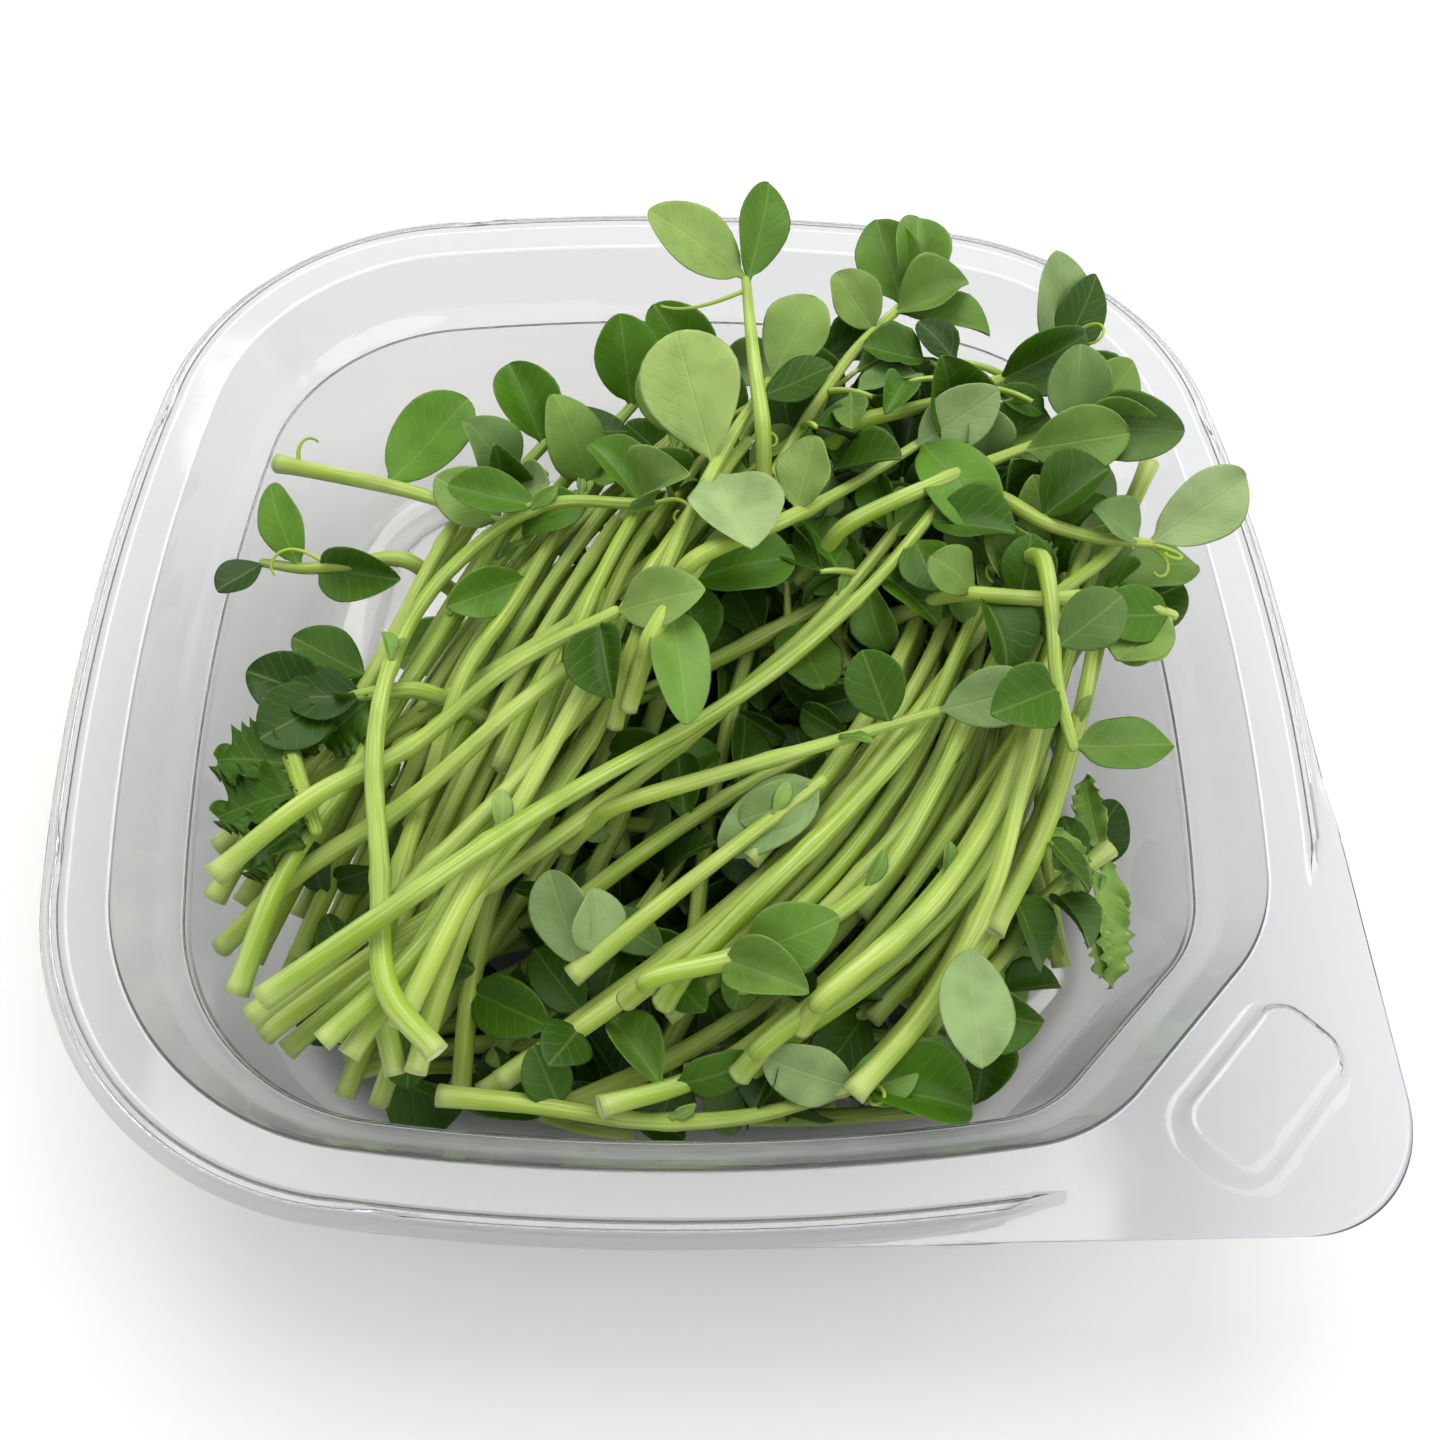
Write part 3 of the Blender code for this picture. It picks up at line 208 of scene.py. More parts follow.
# Leaves that stand out: shoot, place along it from 0 to 1, heading in plan in degrees, length and width.
LEAVES = (
    ("shoot_big_leaf", 0.55, 98, 24, 15), ("shoot_big_leaf", 0.55, -62, 14, 10),
    ("shoot_big_leaf", 1.0, 69, 16, 11), ("shoot_big_leaf", 0.9, 10, 13, 10),
    ("shoot_back_left", 0.52, 46, 20, 13), ("shoot_back_left", 1.0, 150, 13, 10),
    ("shoot_left_e", 0.88, 156, 13, 10), ("shoot_left_m", 0.77, 172, 15, 8),
    ("shoot_left_i", 1.0, 5, 14, 9), ("shoot_left_i", 0.96, -80, 12, 9),
    ("shoot_back_right", 0.05, -85, 13, 9), ("shoot_back_right", 1.0, 80, 16, 10),
    ("shoot_back_right", 0.95, 17, 14, 10), ("shoot_back_right", 0.88, 132, 12, 9),
    ("shoot_bright_pair", 1.0, -62, 19, 12), ("shoot_bright_pair", 0.97, 20, 16, 10),
    ("shoot_bright_pair", 0.4, 75, 12, 9), ("shoot_top", 1.0, 126, 21, 12),
    ("shoot_top", 0.97, 74, 17, 9), ("shoot_far_right", 1.0, 28, 18, 11),
    ("shoot_far_right", 0.93, 153, 9, 8), ("shoot_far_right", 0.3, 30, 13, 10),
    ("shoot_right_leaf", 0.98, -165, 15, 9), ("shoot_right_leaf", 1.0, -138, 15, 9),
    ("shoot_right_leaf", 0.05, 150, 9, 9), ("shoot_right_leaf", 0.08, -74, 13, 10),
    ("shoot_drooping", 1.0, -2, 14, 9), ("shoot_drooping", 0.7, -150, 13, 10),
    ("shoot_drooping", 0.5, 30, 12, 9), ("shoot_crossing", 1.0, 4, 15, 9),
    ("shoot_crossing", 0.85, 120, 12, 9), ("shoot_middle", 1.0, -160, 18, 10),
    ("shoot_middle", 0.97, -130, 12, 8), ("shoot_middle", 0.1, 92, 10, 9),
    ("shoot_middle", 0.03, 110, 15, 9), ("shoot_right_e", 0.1, -27, 13, 8),
    ("shoot_right_e", 0.14, 12, 14, 10), ("shoot_front", 1.0, 165, 14, 9),
    ("shoot_front", 0.97, 13, 11, 8), ("shoot_front", 0.3, 118, 10, 7),
    ("shoot_right_g", 0.4, -104, 17, 12), ("shoot_right_c", 0.1, -116, 10, 8),
    ("shoot_right_f", 0.06, 69, 12, 8), ("shoot_left_tip", 0.7, 114, 15, 8),
    ("shoot_left_tip", 1.0, -138, 9, 7), ("shoot_left_tip", 0.6, -17, 16, 9),
    ("shoot_left_dark", 1.0, 171, 13, 10), ("shoot_left_dark", 0.95, -138, 13, 11),
    ("shoot_left_dark", 0.6, 190, 12, 9), ("shoot_left_l", 0.5, 162, 13, 9),
    ("shoot_left_b", 0.7, 46, 16, 11), ("shoot_mass_a", 0.66, 23, 17, 11),
    ("shoot_mass_a", 1.0, 60, 15, 10), ("shoot_mass_b", 0.95, -10, 15, 10),
    ("shoot_mass_b", 0.72, -4, 17, 11), ("shoot_mass_b", 1.0, 45, 14, 10),
    ("shoot_long", 1.0, 70, 14, 10), ("shoot_long", 0.96, -20, 14, 11), ("shoot_long", 0.93, -75, 13, 10),
    ("shoot_arch", 1.0, -30, 12, 10), ("shoot_arch", 0.86, 172, 15, 8),
    ("shoot_lower_d", 1.0, -80, 14, 11), ("shoot_lower_d", 0.85, -20, 13, 10),
    ("shoot_right_end", 1.0, -60, 14, 10),
)

# Each bunch: name, share of the heap's depth, place in plan where its stems are joined, heading and reach
# of the fan that they spread in from there, how many they are, the fan's angle in degrees, how far each
# stem bows aside, and whether the cut ends are at the far side of the fan.
BUNCHES = (
    ("bunch_bottom", 0.08, (-58, -42), 32, 118, 5, 54, 0, False),
    ("bunch_cross", 0.28, (56, -46), 132, 108, 5, 54, 0, False),
    ("bunch_front", 0.52, (-54, -60), 14, 112, 5, 54, 0, False),
    ("bunch_left", 0.84, (4, 30), 233, 104, 6, 32, 6, True),
    ("bunch_right", 0.84, (60, 10), 247, 88, 6, 36, -9, True),
)
BUNCH_POINTS = 6
BUNCH_PITCH = 1.9         # between stems where they are joined, less than their thickness there
BUNCH_ROOT_R = 1.45       # of a stem's thinner end where the cut ends are far
BUNCH_STRAIGHT = 12.0     # from there to where a bunch spreads
BUNCH_COVER = 12.0        # the heap's top less this is the highest that a bunch lies
BUNCH_INSET = 30.0        # its far ends stay this far inside the outline
BUNCH_SHORTEN = 0.97      # a stem too near the outline is shortened by this factor until it is clear
BUNCH_STAGGER = 0.15      # neighbouring stems are joined this much above and below one another

# Loose stems and leaves that fill the gaps under the ones that show. Most of the stems follow the left or
# the right bundle, each given by the plan routes of its two edges.
BUNDLES = (
    (((-66, -50), (-50, -12), (-34, 16), (-18, 38)), ((-36, -73), (-26, -42), (-8, 0), (12, 36))),
    (((-16, -60), (10, -42), (30, -16), (42, 14)), ((22, -72), (42, -54), (55, -32), (63, 2))),
)
EDGE_POINTS = 21          # on an edge route
FOLLOW_SHARE = 0.86       # of the filling stems, which follow a bundle,
BUNDLE_ODDS = (0.42, 0.58)   # the left one or the right one
FOLLOW_START = (0, 0.4)   # where along the bundle such a stem starts,
FOLLOW_TAKE = (0.5, 0.75)    # the share of the rest that it takes,
FOLLOW_LEAST = 0.12       # and what it takes beyond that
FOLLOW_SHIFT = 2.0        # how far it is moved in plan, and its two ends apart
FOLLOW_LEAN = 2.5
ACROSS_LENGTH = (30, 75)  # of a stem that lies across
ACROSS_BOW = 6.0
ACROSS_DOWN = 5.0         # how much deeper it lies
FILL_POINTS = 6           # on each
FILL_TILT = 4.0           # one end up and the other down by as much as this
FILL_SLIMMEST = 0.8       # of a stem's radius
FILL_TRIES = 5000
FILL_DEPTH = 34.0
FILL_LAYER = (1.0, 5.0)   # below where the tries have got to
FILL_OVERLAP = 0.45       # how far a filling stem may press into another
FILL_LEAF_TRIES = 7600
FILL_LEAF_LENGTH = (9, 16)
FILL_LEAF_SLIMNESS = (0.5, 0.74)
FILL_LEAF_TILT = 0.9      # radians, the most that one is pitched or rolled
FILL_COVER = 3.0          # of heap over a filling leaf,
EDGE_COVER = -1.5         # or at the front and right edges, where one may rise out of it

# Plan of the heap
HEAP_LEFT = -72           # its left edge,
HEAP_LEFT_FROM = -40      # which behind this y goes in by a share of what is behind
HEAP_LEFT_SLOPE = 0.62
HEAP_RIGHT = 60
HEAP_FRONT = -76
HEAP_BACK = 44
BARE_X = -26              # left of this and behind this the tray is bare
BARE_Y = 18

# Room in the heap
ROOM_CELLS = (191, 191, 91)
ROOM_EMPTY = -9.0         # depth of a cell that nothing is near
ROOM_REACH = 3            # cells to either side of a point, which it marks
ROOM_BATCH = 3000         # points marked at a time

# Leafy mass at the back right
MASS_X = 40.0
MASS_Y = 26.0
MASS_HALF_X = 38.0
MASS_HALF_Y = 36.0
MASS_RISE = 8.0
SPRIG_TRIES = 3000
SPRIG_PITCH = (0.1, 1.1)  # radians
SPRIG_LENGTH = (9, 22)
SPRIG_DROOP = 0.3         # of the length, at the tip
SPRIG_LEAVES = (1.0, 0.95, 0.6, 0.55, 0.98, 0.3)   # where along the stalk they grow, two pairs and two more
SPRIG_LEAF_LENGTH = (8.5, 14.5)
SPRIG_LEAF_SLIMNESS = (0.6, 0.8)
SPRIG_LEAF_FOLD = (0.1, 0.8)
SPRIG_LEAF_TRIES = 7
SPRIG_GAP = 0.3

# How leaves that stand out look: their row in LEAVES, paleness from 0 to 1, vividness from 0 to 1, and
# whether the grey-green underside is up.
LEAF_LOOKS = {
    0: (0.95, 0.15, False), 1: (0.75, 0.0, True), 2: (0.6, 0.4, False), 4: (0.2, 0.9, False),
    5: (0.6, 0.6, False), 8: (0.5, 0.3, False), 10: (0.4, 0.8, False), 14: (0.25, 1.0, False),
    15: (0.5, 0.2, True), 16: (0.6, 0.3, False), 17: (0.75, 0.35, False), 18: (0.1, 0.5, False),
    19: (0.7, 0.3, True), 26: (0.1, 0.2, False), 29: (0.4, 0.1, True), 31: (0.4, 0.15, True),
    32: (0.3, 0.2, True), 33: (0.6, 0.1, True), 34: (0.4, 0.1, True), 37: (0.5, 0.1, True),
    38: (0.6, 0.9, False), 40: (0.5, 0.1, True), 42: (0.6, 1.0, False), 43: (0.3, 1.0, False),
    44: (-0.6, 0.3, False), 46: (-0.6, 0.4, False), 47: (-0.5, 0.2, False), 48: (-0.6, 0.5, False),
    49: (-0.3, 0.4, False),
}

# Leaves turned from their solid's pose to the way the photo shows them: row in LEAVES, then heading, pitch
# and roll in degrees, length, width, fold, and belly, which is over 1 where it is broadest near the tip.
LEAF_POSES = {
    0: (112, 40, -20, 21, 15.5, 0.12, 1.5), 1: (-76, 17, 6, 20.5, 14, 0.6, 1.3),
    8: (-1, 26, 24, 14, 9, 0.3, 1.0), 10: (-83, -2, -5, 19, 8.5, 0.4, 0.85),
    14: (-61, 0, 10, 21, 11.5, 0.3, 1.0), 17: (163, 30, -24, 19, 10.5, 0.3, 1.0),
    40: (-91, 9, -4, 19, 10.5, 0.3, 1.1),
}

# Shoots whose foot goes down out of sight among the others: thin side shoots, and ones of the right bundle
SUNK_BUNDLE = ("shoot_right_e", "shoot_right_f", "shoot_right_h", "shoot_right_i", "shoot_right_j",
               "shoot_right_l", "shoot_right_k")
SUNK = ("shoot_big_leaf", "shoot_back_right", "shoot_crossing", "shoot_mass_a", "shoot_mass_b",
        "shoot_far_right", "shoot_right_leaf", "shoot_drooping", "shoot_bright_pair", "shoot_top",
        "shoot_left_tip", "shoot_left_dark")
SUNK_R = 0.86             # of the solid's radius, for the side shoots
SUNK_STEPS = ((9.0, -10.0), (4.5, -4.0))   # back and up, of the two points that carry a foot down
SUNK_SHARE = 0.6          # of those steps, for the right bundle

# Stems as surfaces
JOINT_STEP = 34.0         # between joints
JOINT_SHIFT = 8.0
JOINT_SWELL = 0.2         # of the radius
JOINT_REACH = 1.4
FLARE = (0.0, 0.22)       # of the radius, at the cut end
FLARE_REACH = 2.0
WAVER = 0.03              # of the radius, along the stem
RIDGE = 0.028             # of the radius, round it
CUT_ROWS = ((1.1, 0.18), (1.0, 0.40), (0.25, 0.50), (0.0, 0.66), (0.05, 0.92))   # inward, share of radius
TIP_ROWS = ((0.5, 0.8), (0.8, 0.35))   # outward, share of radius
SCALE_SHARE = 0.22        # of the places at joints, which bear a scale
TENDRIL_SHARE = 0.3       # of the shoots, which end in a tendril
TENDRIL_POINTS = 42

# Leaves as surfaces
STALK_SHARE = 0.07        # of the length
BELLY = (0.8, 1.25)       # over 1, a leaf is broadest near its tip
BLUNTNESS = (0.46, 0.62)  # the lower, the blunter its ends
MORE_FOLD = (0.0, 0.2, 0.5, 0.9)
WAVE = (0.01, 0.045)      # of the width, at the edge
CURL = (0.0, 0.16)        # of the length, the tip down
CUP = (-0.10, 0.04)
TWIST = 0.4               # radians, at the tip
BLADE_THICK = 0.36
STALK_THICK = 0.8

# Crinkled young leaves, yellow-green: shoot, place along it, heading, pitch, length and width.
FRILLS = (
    ("shoot_lower_d", 0.02, -88, -26, 18, 5), ("shoot_lower_d", 0.10, -80, -22, 19, 6),
    ("shoot_lower_d", 0.22, -70, -18, 15, 5), ("shoot_lower_d", 0.04, 96, 10, 13, 5),
    ("shoot_right_m", 0.35, -52, -34, 13, 5), ("shoot_left_end", 0.9, 205, -30, 13, 11),
    ("shoot_left_end", 0.6, 188, -20, 14, 11), ("shoot_left_end", 0.3, 168, -12, 13, 10),
    ("shoot_left_dark", 0.9, 205, -24, 13, 11), ("shoot_left_dark", 0.5, 214, -30, 12, 10),
)

# Tendrils that stand out: shoot, place along it, heading, pitch, length, and turn in half circles.
TENDRILS = (
    ("shoot_top", 0.93, -152, -4, 15, 0.35), ("shoot_mass_a", 0.98, 52, 24, 17, 1.7),
    ("shoot_right_leaf", 0.97, -84, -8, 15, 1.5), ("shoot_left_tip", 0.5, 150, 20, 13, -0.9),
    ("shoot_back_left", 0.1, 100, 30, 8, 0.8), ("shoot_far_right", 0.98, -20, -20, 9, 1.2),
)


def resampled(points, at, place):
    """A line's points at new places, where at gives the places of its own points."""
    return np.column_stack([np.interp(place, at, column) for column in points.T])


def point_on(points, share):
    """A point of a stem at a share of its length."""
    return resampled(points, np.arange(len(points)), share * (len(points) - 1))[0]


def along_plan(route):
    """How far along a plan route each of its points is."""
    return np.concatenate(((0.0,), np.cumsum(np.hypot(*np.diff(route, axis=0).T))))


def length_of(points):
    """A line's length."""
    return np.linalg.norm(np.diff(points, axis=0), axis=1).sum()


def aimed(heading, pitch):
    """A direction of length one."""
    flat = math.cos(pitch)
    return np.array((math.cos(heading) * flat, math.sin(heading) * flat, math.sin(pitch)))


def arc(cx, cy, radius, start, end, segments):
    """Points on an arc about (cx, cy), from one angle to the other."""
    t = np.linspace(start, end, segments + 1)
    return np.column_stack((cx + radius * np.cos(t), cy + radius * np.sin(t)))


def rounded_quarter(inset):
    """Quarter of the outline, from the middle of the right side to the middle of the back one: a bowed
    side, a corner arc that touches it, and the same side mirrored in the diagonal."""
    half = HALF_SIDE - inset
    bow = SIDE_BOW_R - inset
    corner = CORNER_R - inset
    k = bow - half
    centre = (-2 * k + math.sqrt(4 * k * k - 8 * (k * k - (bow - corner) ** 2))) / 4
    touch = math.atan2(centre, centre - half + bow)
    side = arc(half - bow, 0, bow, 0, touch, SIDE_SEGMENTS)
    bend = arc(centre, centre, corner, touch, math.pi / 2 - touch, CORNER_SEGMENTS)[1:-1]
    return np.concatenate((side, bend, side[::-1, ::-1]))


def tab_quarter(inset):
    """Quarter of the outline with the tab: a nearly straight side and a tight corner."""
    half = HALF_SIDE - inset
    radius = TAB_CORNER_R - inset
    nx = math.cos(TAB_LEAN)
    ny = math.sin(TAB_LEAN)
    centre = (half * nx - radius) / (nx + ny)
    touch = np.array((centre + radius * nx, centre + radius * ny))
    share = np.linspace(0, 1, SIDE_SEGMENTS + 1)[:, None]
    side = np.array((half, 0.0)) * (1 - share) + touch * share
    bend = arc(centre, centre, radius, TAB_LEAN, math.pi / 2 - TAB_LEAN, CORNER_SEGMENTS)[1:-1]
    return np.concatenate((side, bend, side[::-1, ::-1]))


def cut_quarter_fine(inset):
    """Quarter of the well's outline by the tab: a bowed side, a bend, and half of the straight cut."""
    half = HALF_SIDE - inset
    bow = SIDE_BOW_R - inset
    bend_r = WELL_BEND_R + WELL_INSET - inset
    reach = (WELL_CUT + WELL_INSET - inset - bend_r) * math.sqrt(2)
    k = reach - half + bow
    y = (2 * k - math.sqrt(4 * k * k - 8 * (k * k - (bow - bend_r) ** 2))) / 4
    x = reach - y
    touch = math.atan2(y, x - half + bow)
    side = arc(half - bow, 0, bow, 0, touch, SIDE_SEGMENTS)
    bend = arc(x, y, bend_r, touch, math.pi / 4, CORNER_SEGMENTS // 3)[1:]
    share = np.linspace(0, 1, CORNER_SEGMENTS // 3 + 1)[1:-1, None]
    straight = bend[-1] * (1 - share) + bend[-1, ::-1] * share
    return np.concatenate((side, bend, straight, bend[::-1, ::-1], side[::-1, ::-1]))


# where the outline's corner arcs are centred, in x and in y alike
CORNER_CENTRE = rounded_quarter(0)[SIDE_SEGMENTS + CORNER_SEGMENTS // 2, 0] - CORNER_R * math.sqrt(0.5)


def outline_inset(x, y):
    """How far a plan point lies inside the outline with four round corners."""
    ax, ay = np.abs(x), np.abs(y)
    side_x = SIDE_BOW_R - np.hypot(ax + SIDE_BOW_R - HALF_SIDE, ay)
    side_y = SIDE_BOW_R - np.hypot(ay + SIDE_BOW_R - HALF_SIDE, ax)
    corner = CORNER_R - np.hypot(ax - CORNER_CENTRE, ay - CORNER_CENTRE)
    inside = np.minimum(side_x, side_y)
    by_corner = (ax > CORNER_CENTRE) & (ay > CORNER_CENTRE)
    return np.where(by_corner, np.minimum(inside, corner), inside)


def inset_of(x, y):
    """How far a plan point lies inside the tray's outline, with the well's cut corner."""
    cut = WELL_CUT + WELL_INSET - (x - y) * math.sqrt(0.5)
    return np.minimum(outline_inset(x, y), cut)


def inset_needed(z):
    """How far inside the outline a point at height z must lie to be clear of the tray's wall."""
    heights = (0.0, 2.4, 7.0, RIM_Z - 13.2, RIM_Z - 9.5, RIM_Z - 3.5, RIM_Z, RIM_Z + 3)
    insets = (28.0, 24.5, 22.2, 17.8, 15.6, 12.6, 11.6, 3.0)
    return np.interp(z, heights, insets)


def heap_top(x, y):
    """Height of the heap's upper surface, a low dome whose peak is behind and right of the middle."""
    return PEAK_Z - DOME * ((x - PEAK_X) ** 2 + (y - PEAK_Y) ** 2)


def smooth_route(hand_points, count=None):
    """The given points joined by straight lines, rounded by averaging over a fifth of the length with
    the ends held, and cut into equal steps, of which there are fewer on a shorter stem."""
    points = np.array(hand_points, float)
    along = along_plan(points)
    line = resampled(points, along, np.linspace(0, along[-1], ROUTE_STEPS + 1))
    reach = ROUND_REACH
    for _ in range(ROUND_TIMES):
        before = 2 * line[0] - line[reach:0:-1]
        after = 2 * line[-1] - line[-2:-reach - 2:-1]
        padded = np.concatenate((before, line, after))
        window = np.ones(2 * reach + 1) / (2 * reach + 1)
        line = np.column_stack([np.convolve(column, window, "valid") for column in padded.T])
    along = along_plan(line)
    count = count or int(np.clip(round(along[-1] / STEM_PIECE) + 1, 4, STEM_POINTS))
    return resampled(line, along, np.linspace(0, along[-1], count))


def fine_line(points, step=1.0):
    """Points about a millimetre apart on the straight pieces between a stem's points, and the place of
    each one counted in those pieces."""
    steps = np.linalg.norm(np.diff(points, axis=0), axis=1)
    pieces = np.maximum(2, np.ceil(steps / step)).astype(int)
    place = np.concatenate([k + np.arange(n) / n for k, n in enumerate(pieces)] + [[len(points) - 1]])
    return resampled(points, np.arange(len(points)), place), place


class Heap:
    """What is already in the tray: the height of the topmost stem over each cell of the plan, and the
    points, with their radius and their shoot's number, that everything else keeps clear of."""

    def __init__(self):
        self.cells = int(2 * HALF_SIDE / CELL)
        self.top = np.full((self.cells, self.cells), FLOOR_Z)
        self.points = np.zeros((0, 3))
        self.radii = np.zeros(0)
        self.owners = np.zeros(0, int)

    def cells_under(self, plan, radii):
        """Row and column of the cells under a round bar at each plan point, and half the bar's height over
        each of them, or none past its edge."""
        reach = int(math.ceil(radii.max() / CELL))
        span = np.arange(-reach, reach + 1)
        dx, dy = (grid.ravel() for grid in np.meshgrid(span, span, indexing="ij"))
        base = np.round((plan + HALF_SIDE) / CELL).astype(int)
        rows = np.clip(base[:, :1] + dx[None], 0, self.cells - 1)
        columns = np.clip(base[:, 1:] + dy[None], 0, self.cells - 1)
        square = radii[:, None] ** 2 - (dx ** 2 + dy ** 2)[None] * CELL ** 2
        return rows, columns, np.where(square > 0, np.sqrt(np.maximum(square, 0)) * SLANT, -np.inf)

    def lift(self, route, wanted, radii):
        """Heights for a stem's points, at or above the wanted ones, so that each straight piece between
        them clears what lies below. Over whatever lifts it the stem bends on a parabola."""
        plan, place = fine_line(route)
        index = np.arange(len(route))
        rows, columns, half = self.cells_under(plan, np.interp(place, index, radii) + GAP / 2)
        least = (self.top[rows, columns] + half).max(axis=1) + GAP / 2
        along = along_plan(route)
        along_fine = np.interp(place, index, along)
        drop = (along[:, None] - along_fine[None]) ** 2 / (2 * BEND_R)
        z = np.maximum(wanted, (least[None] - drop).max(axis=1))
        for _ in range(RAISE_ROUNDS):
            short = least - np.interp(place, index, z)
            worst = int(np.argmax(short))
            if short[worst] <= 0:
                break
            piece = min(int(place[worst]), len(route) - 2)
            z[piece] += short[worst] * RAISE + RAISE_LEAST
            z[piece + 1] += short[worst] * RAISE + RAISE_LEAST
        return z

    def add_stem(self, points, radii, owner):
        """Records a stem."""
        fine, place = fine_line(points)
        fine_radii = np.interp(place, np.arange(len(points)), radii)
        rows, columns, half = self.cells_under(fine[:, :2], fine_radii + GAP / 2)
        np.maximum.at(self.top, (rows, columns), fine[:, 2:] + half)
        self.add_points(fine, fine_radii, owner)

    def add_points(self, points, radii, owner):
        """Records points that other shoots keep clear of."""
        self.points = np.vstack((self.points, points))
        self.radii = np.concatenate((self.radii, radii))
        self.owners = np.concatenate((self.owners, np.full(len(points), owner)))

    def clear(self, points, owner):
        """True where a leaf's points are clear of every other shoot and inside the tray."""
        if (inset_of(points[:, 0], points[:, 1]) < inset_needed(points[:, 2] - LEAF_THICKNESS)).any():
            return False
        if points[:, 2].min() < FLOOR_Z:
            return False
        reach = 2 * (STEM_R + LEAF_CLEARANCE)
        low = points.min(axis=0) - reach
        high = points.max(axis=0) + reach
        near = self.owners != owner
        for column, least, most in zip(self.points.T, low, high):
            near = near & (column > least) & (column < most)
        if not near.any():
            return True
        apart = points[:, None] - self.points[near][None]
        return (np.sqrt((apart ** 2).sum(axis=2)) - self.radii[near]).min() > LEAF_CLEARANCE


def blade(u, v, length, width, fold, arch):
    """A leaf's surface, from its foot at u = 0 to its tip at u = 1, and from edge to edge as v runs from
    -1 to 1: an egg-shaped outline, creased along the middle and arched from foot to tip."""
    half = 0.5 * width * np.sin(math.pi * np.clip(u, 0, 1) ** WIDEST) ** FULLNESS
    half = np.maximum(half, FOOT_HALF_WIDTH * (1 - u))
    x = length * u
    y = v * half
    z = fold * np.abs(y) + arch * length * np.sin(math.pi * u) - 0.25 * arch * length * u
    return np.stack((x, y, z), axis=-1)


def turned(points, base, heading, pitch, roll):
    """Points of a leaf rolled about its own axis, pitched up, turned to its heading and moved."""
    cr, sr = math.cos(roll), math.sin(roll)
    cp, sp = math.cos(pitch), math.sin(pitch)
    ch, sh = math.cos(heading), math.sin(heading)
    x, y, z = points[..., 0], points[..., 1], points[..., 2]
    y, z = y * cr - z * sr, y * sr + z * cr
    x, z = x * cp - z * sp, x * sp + z * cp
    x, y = x * ch - y * sh, x * sh + y * ch
    return np.stack((x, y, z), axis=-1) + base


def leaf_samples(form):
    """Points about a millimetre apart over a leaf, past its foot."""
    length, width = form[:2]
    u, v = np.meshgrid(np.linspace(FOOT_SHARE, 1, max(4, int(length / LEAF_STEP))),
                       np.linspace(-1, 1, max(3, int(width / LEAF_STEP))), indexing="ij")
    return blade(u, v, *form).reshape(-1, 3)


def place_leaf(heap, stem, share, heading, length, width, owner, draw):
    """Turns a leaf about its foot, least first, until it clears the rest. Gives its form and pose, or
    nothing where there is no room for it."""
    base = point_on(stem, share)
    fold = draw.uniform(*FOLD)
    arch = draw.uniform(*ARCH)
    roll = math.radians(draw.uniform(*ROLL) + FACING * math.cos(math.radians(heading)))
    natural = draw.uniform(*PITCH) + FACING * math.sin(math.radians(heading))
    tries = []
    for size in LEAF_SIZES:
        for lift in LEAF_LIFTS:
            for swing in LEAF_SWINGS:
                cost = abs(lift) / LIFT_UNIT + abs(swing) / SWING_UNIT + (1 - size) * SIZE_COST
                tries.append((cost, size, lift, swing))
    for _, size, lift, swing in sorted(tries):
        form = (length * size, width * size, fold, arch)
        pose = (base, math.radians(heading + swing), math.radians(natural + lift), roll)
        samples = turned(leaf_samples(form), *pose)
        if heap.clear(samples, owner):
            heap.add_points(samples, np.full(len(samples), LEAF_POINT_R), owner)
            return form, pose
    return None


def stem_route(heap, name, depth, hand_points):
    """A single shoot's stem: its plan route kept off the tray's wall, and its height."""
    route = smooth_route(hand_points)
    radii = np.linspace(STEM_R, TIP_R, len(route))
    wanted = heap_top(route[:, 0], route[:, 1]) - depth
    if name == "shoot_top":
        wanted += np.linspace(0, TOP_RISE, len(route))
    short = inset_needed(wanted - STEM_R) + STEM_R - inset_of(route[:, 0], route[:, 1])
    pull = np.maximum(short, 0) / np.hypot(route[:, 0], route[:, 1])
    route = route * (1 - pull[:, None])
    z = heap.lift(route, wanted, radii)
    return np.column_stack((route, z)), radii


def bunch_routes(heap, share, root, heading, reach, count, spread, bow, ends_far):
    """A loose bunch: stems joined side by side, spreading as a fan that is cut short by the tray's wall, at
    a share of the heap's depth."""
    stems = []
    middle = (count - 1) / 2
    straight = np.array((math.cos(math.radians(heading)), math.sin(math.radians(heading))))
    across = np.array((-straight[1], straight[0]))
    for k in range(count):
        start = np.array(root) + BUNCH_PITCH * (k - middle) * across
        aim = math.radians(heading + spread * (k - middle) / (count - 1))
        near = start + BUNCH_STRAIGHT * straight
        far = near + reach * np.array((math.cos(aim), math.sin(aim)))
        while inset_of(*far) < BUNCH_INSET:
            far = near + (far - near) * BUNCH_SHORTEN
        route = smooth_route((start, near, (near + far) / 2 + bow * across, far), BUNCH_POINTS)
        deepest = FLOOR_Z + STEM_R
        wanted = deepest + (heap_top(route[:, 0], route[:, 1]) - BUNCH_COVER - deepest) * share
        ends = (BUNCH_ROOT_R, STEM_R) if ends_far else (STEM_R, TIP_R)
        radii = np.linspace(*ends, BUNCH_POINTS)
        stems.append((route, heap.lift(route, wanted, radii), radii))
    shared = max(z[:2].max() for _, z, _ in stems)
    made = []
    for k, (route, z, radii) in enumerate(stems):
        z[:2] = shared + BUNCH_STAGGER * (-1) ** k
        made.append((np.column_stack((route, z)), radii))
    return made


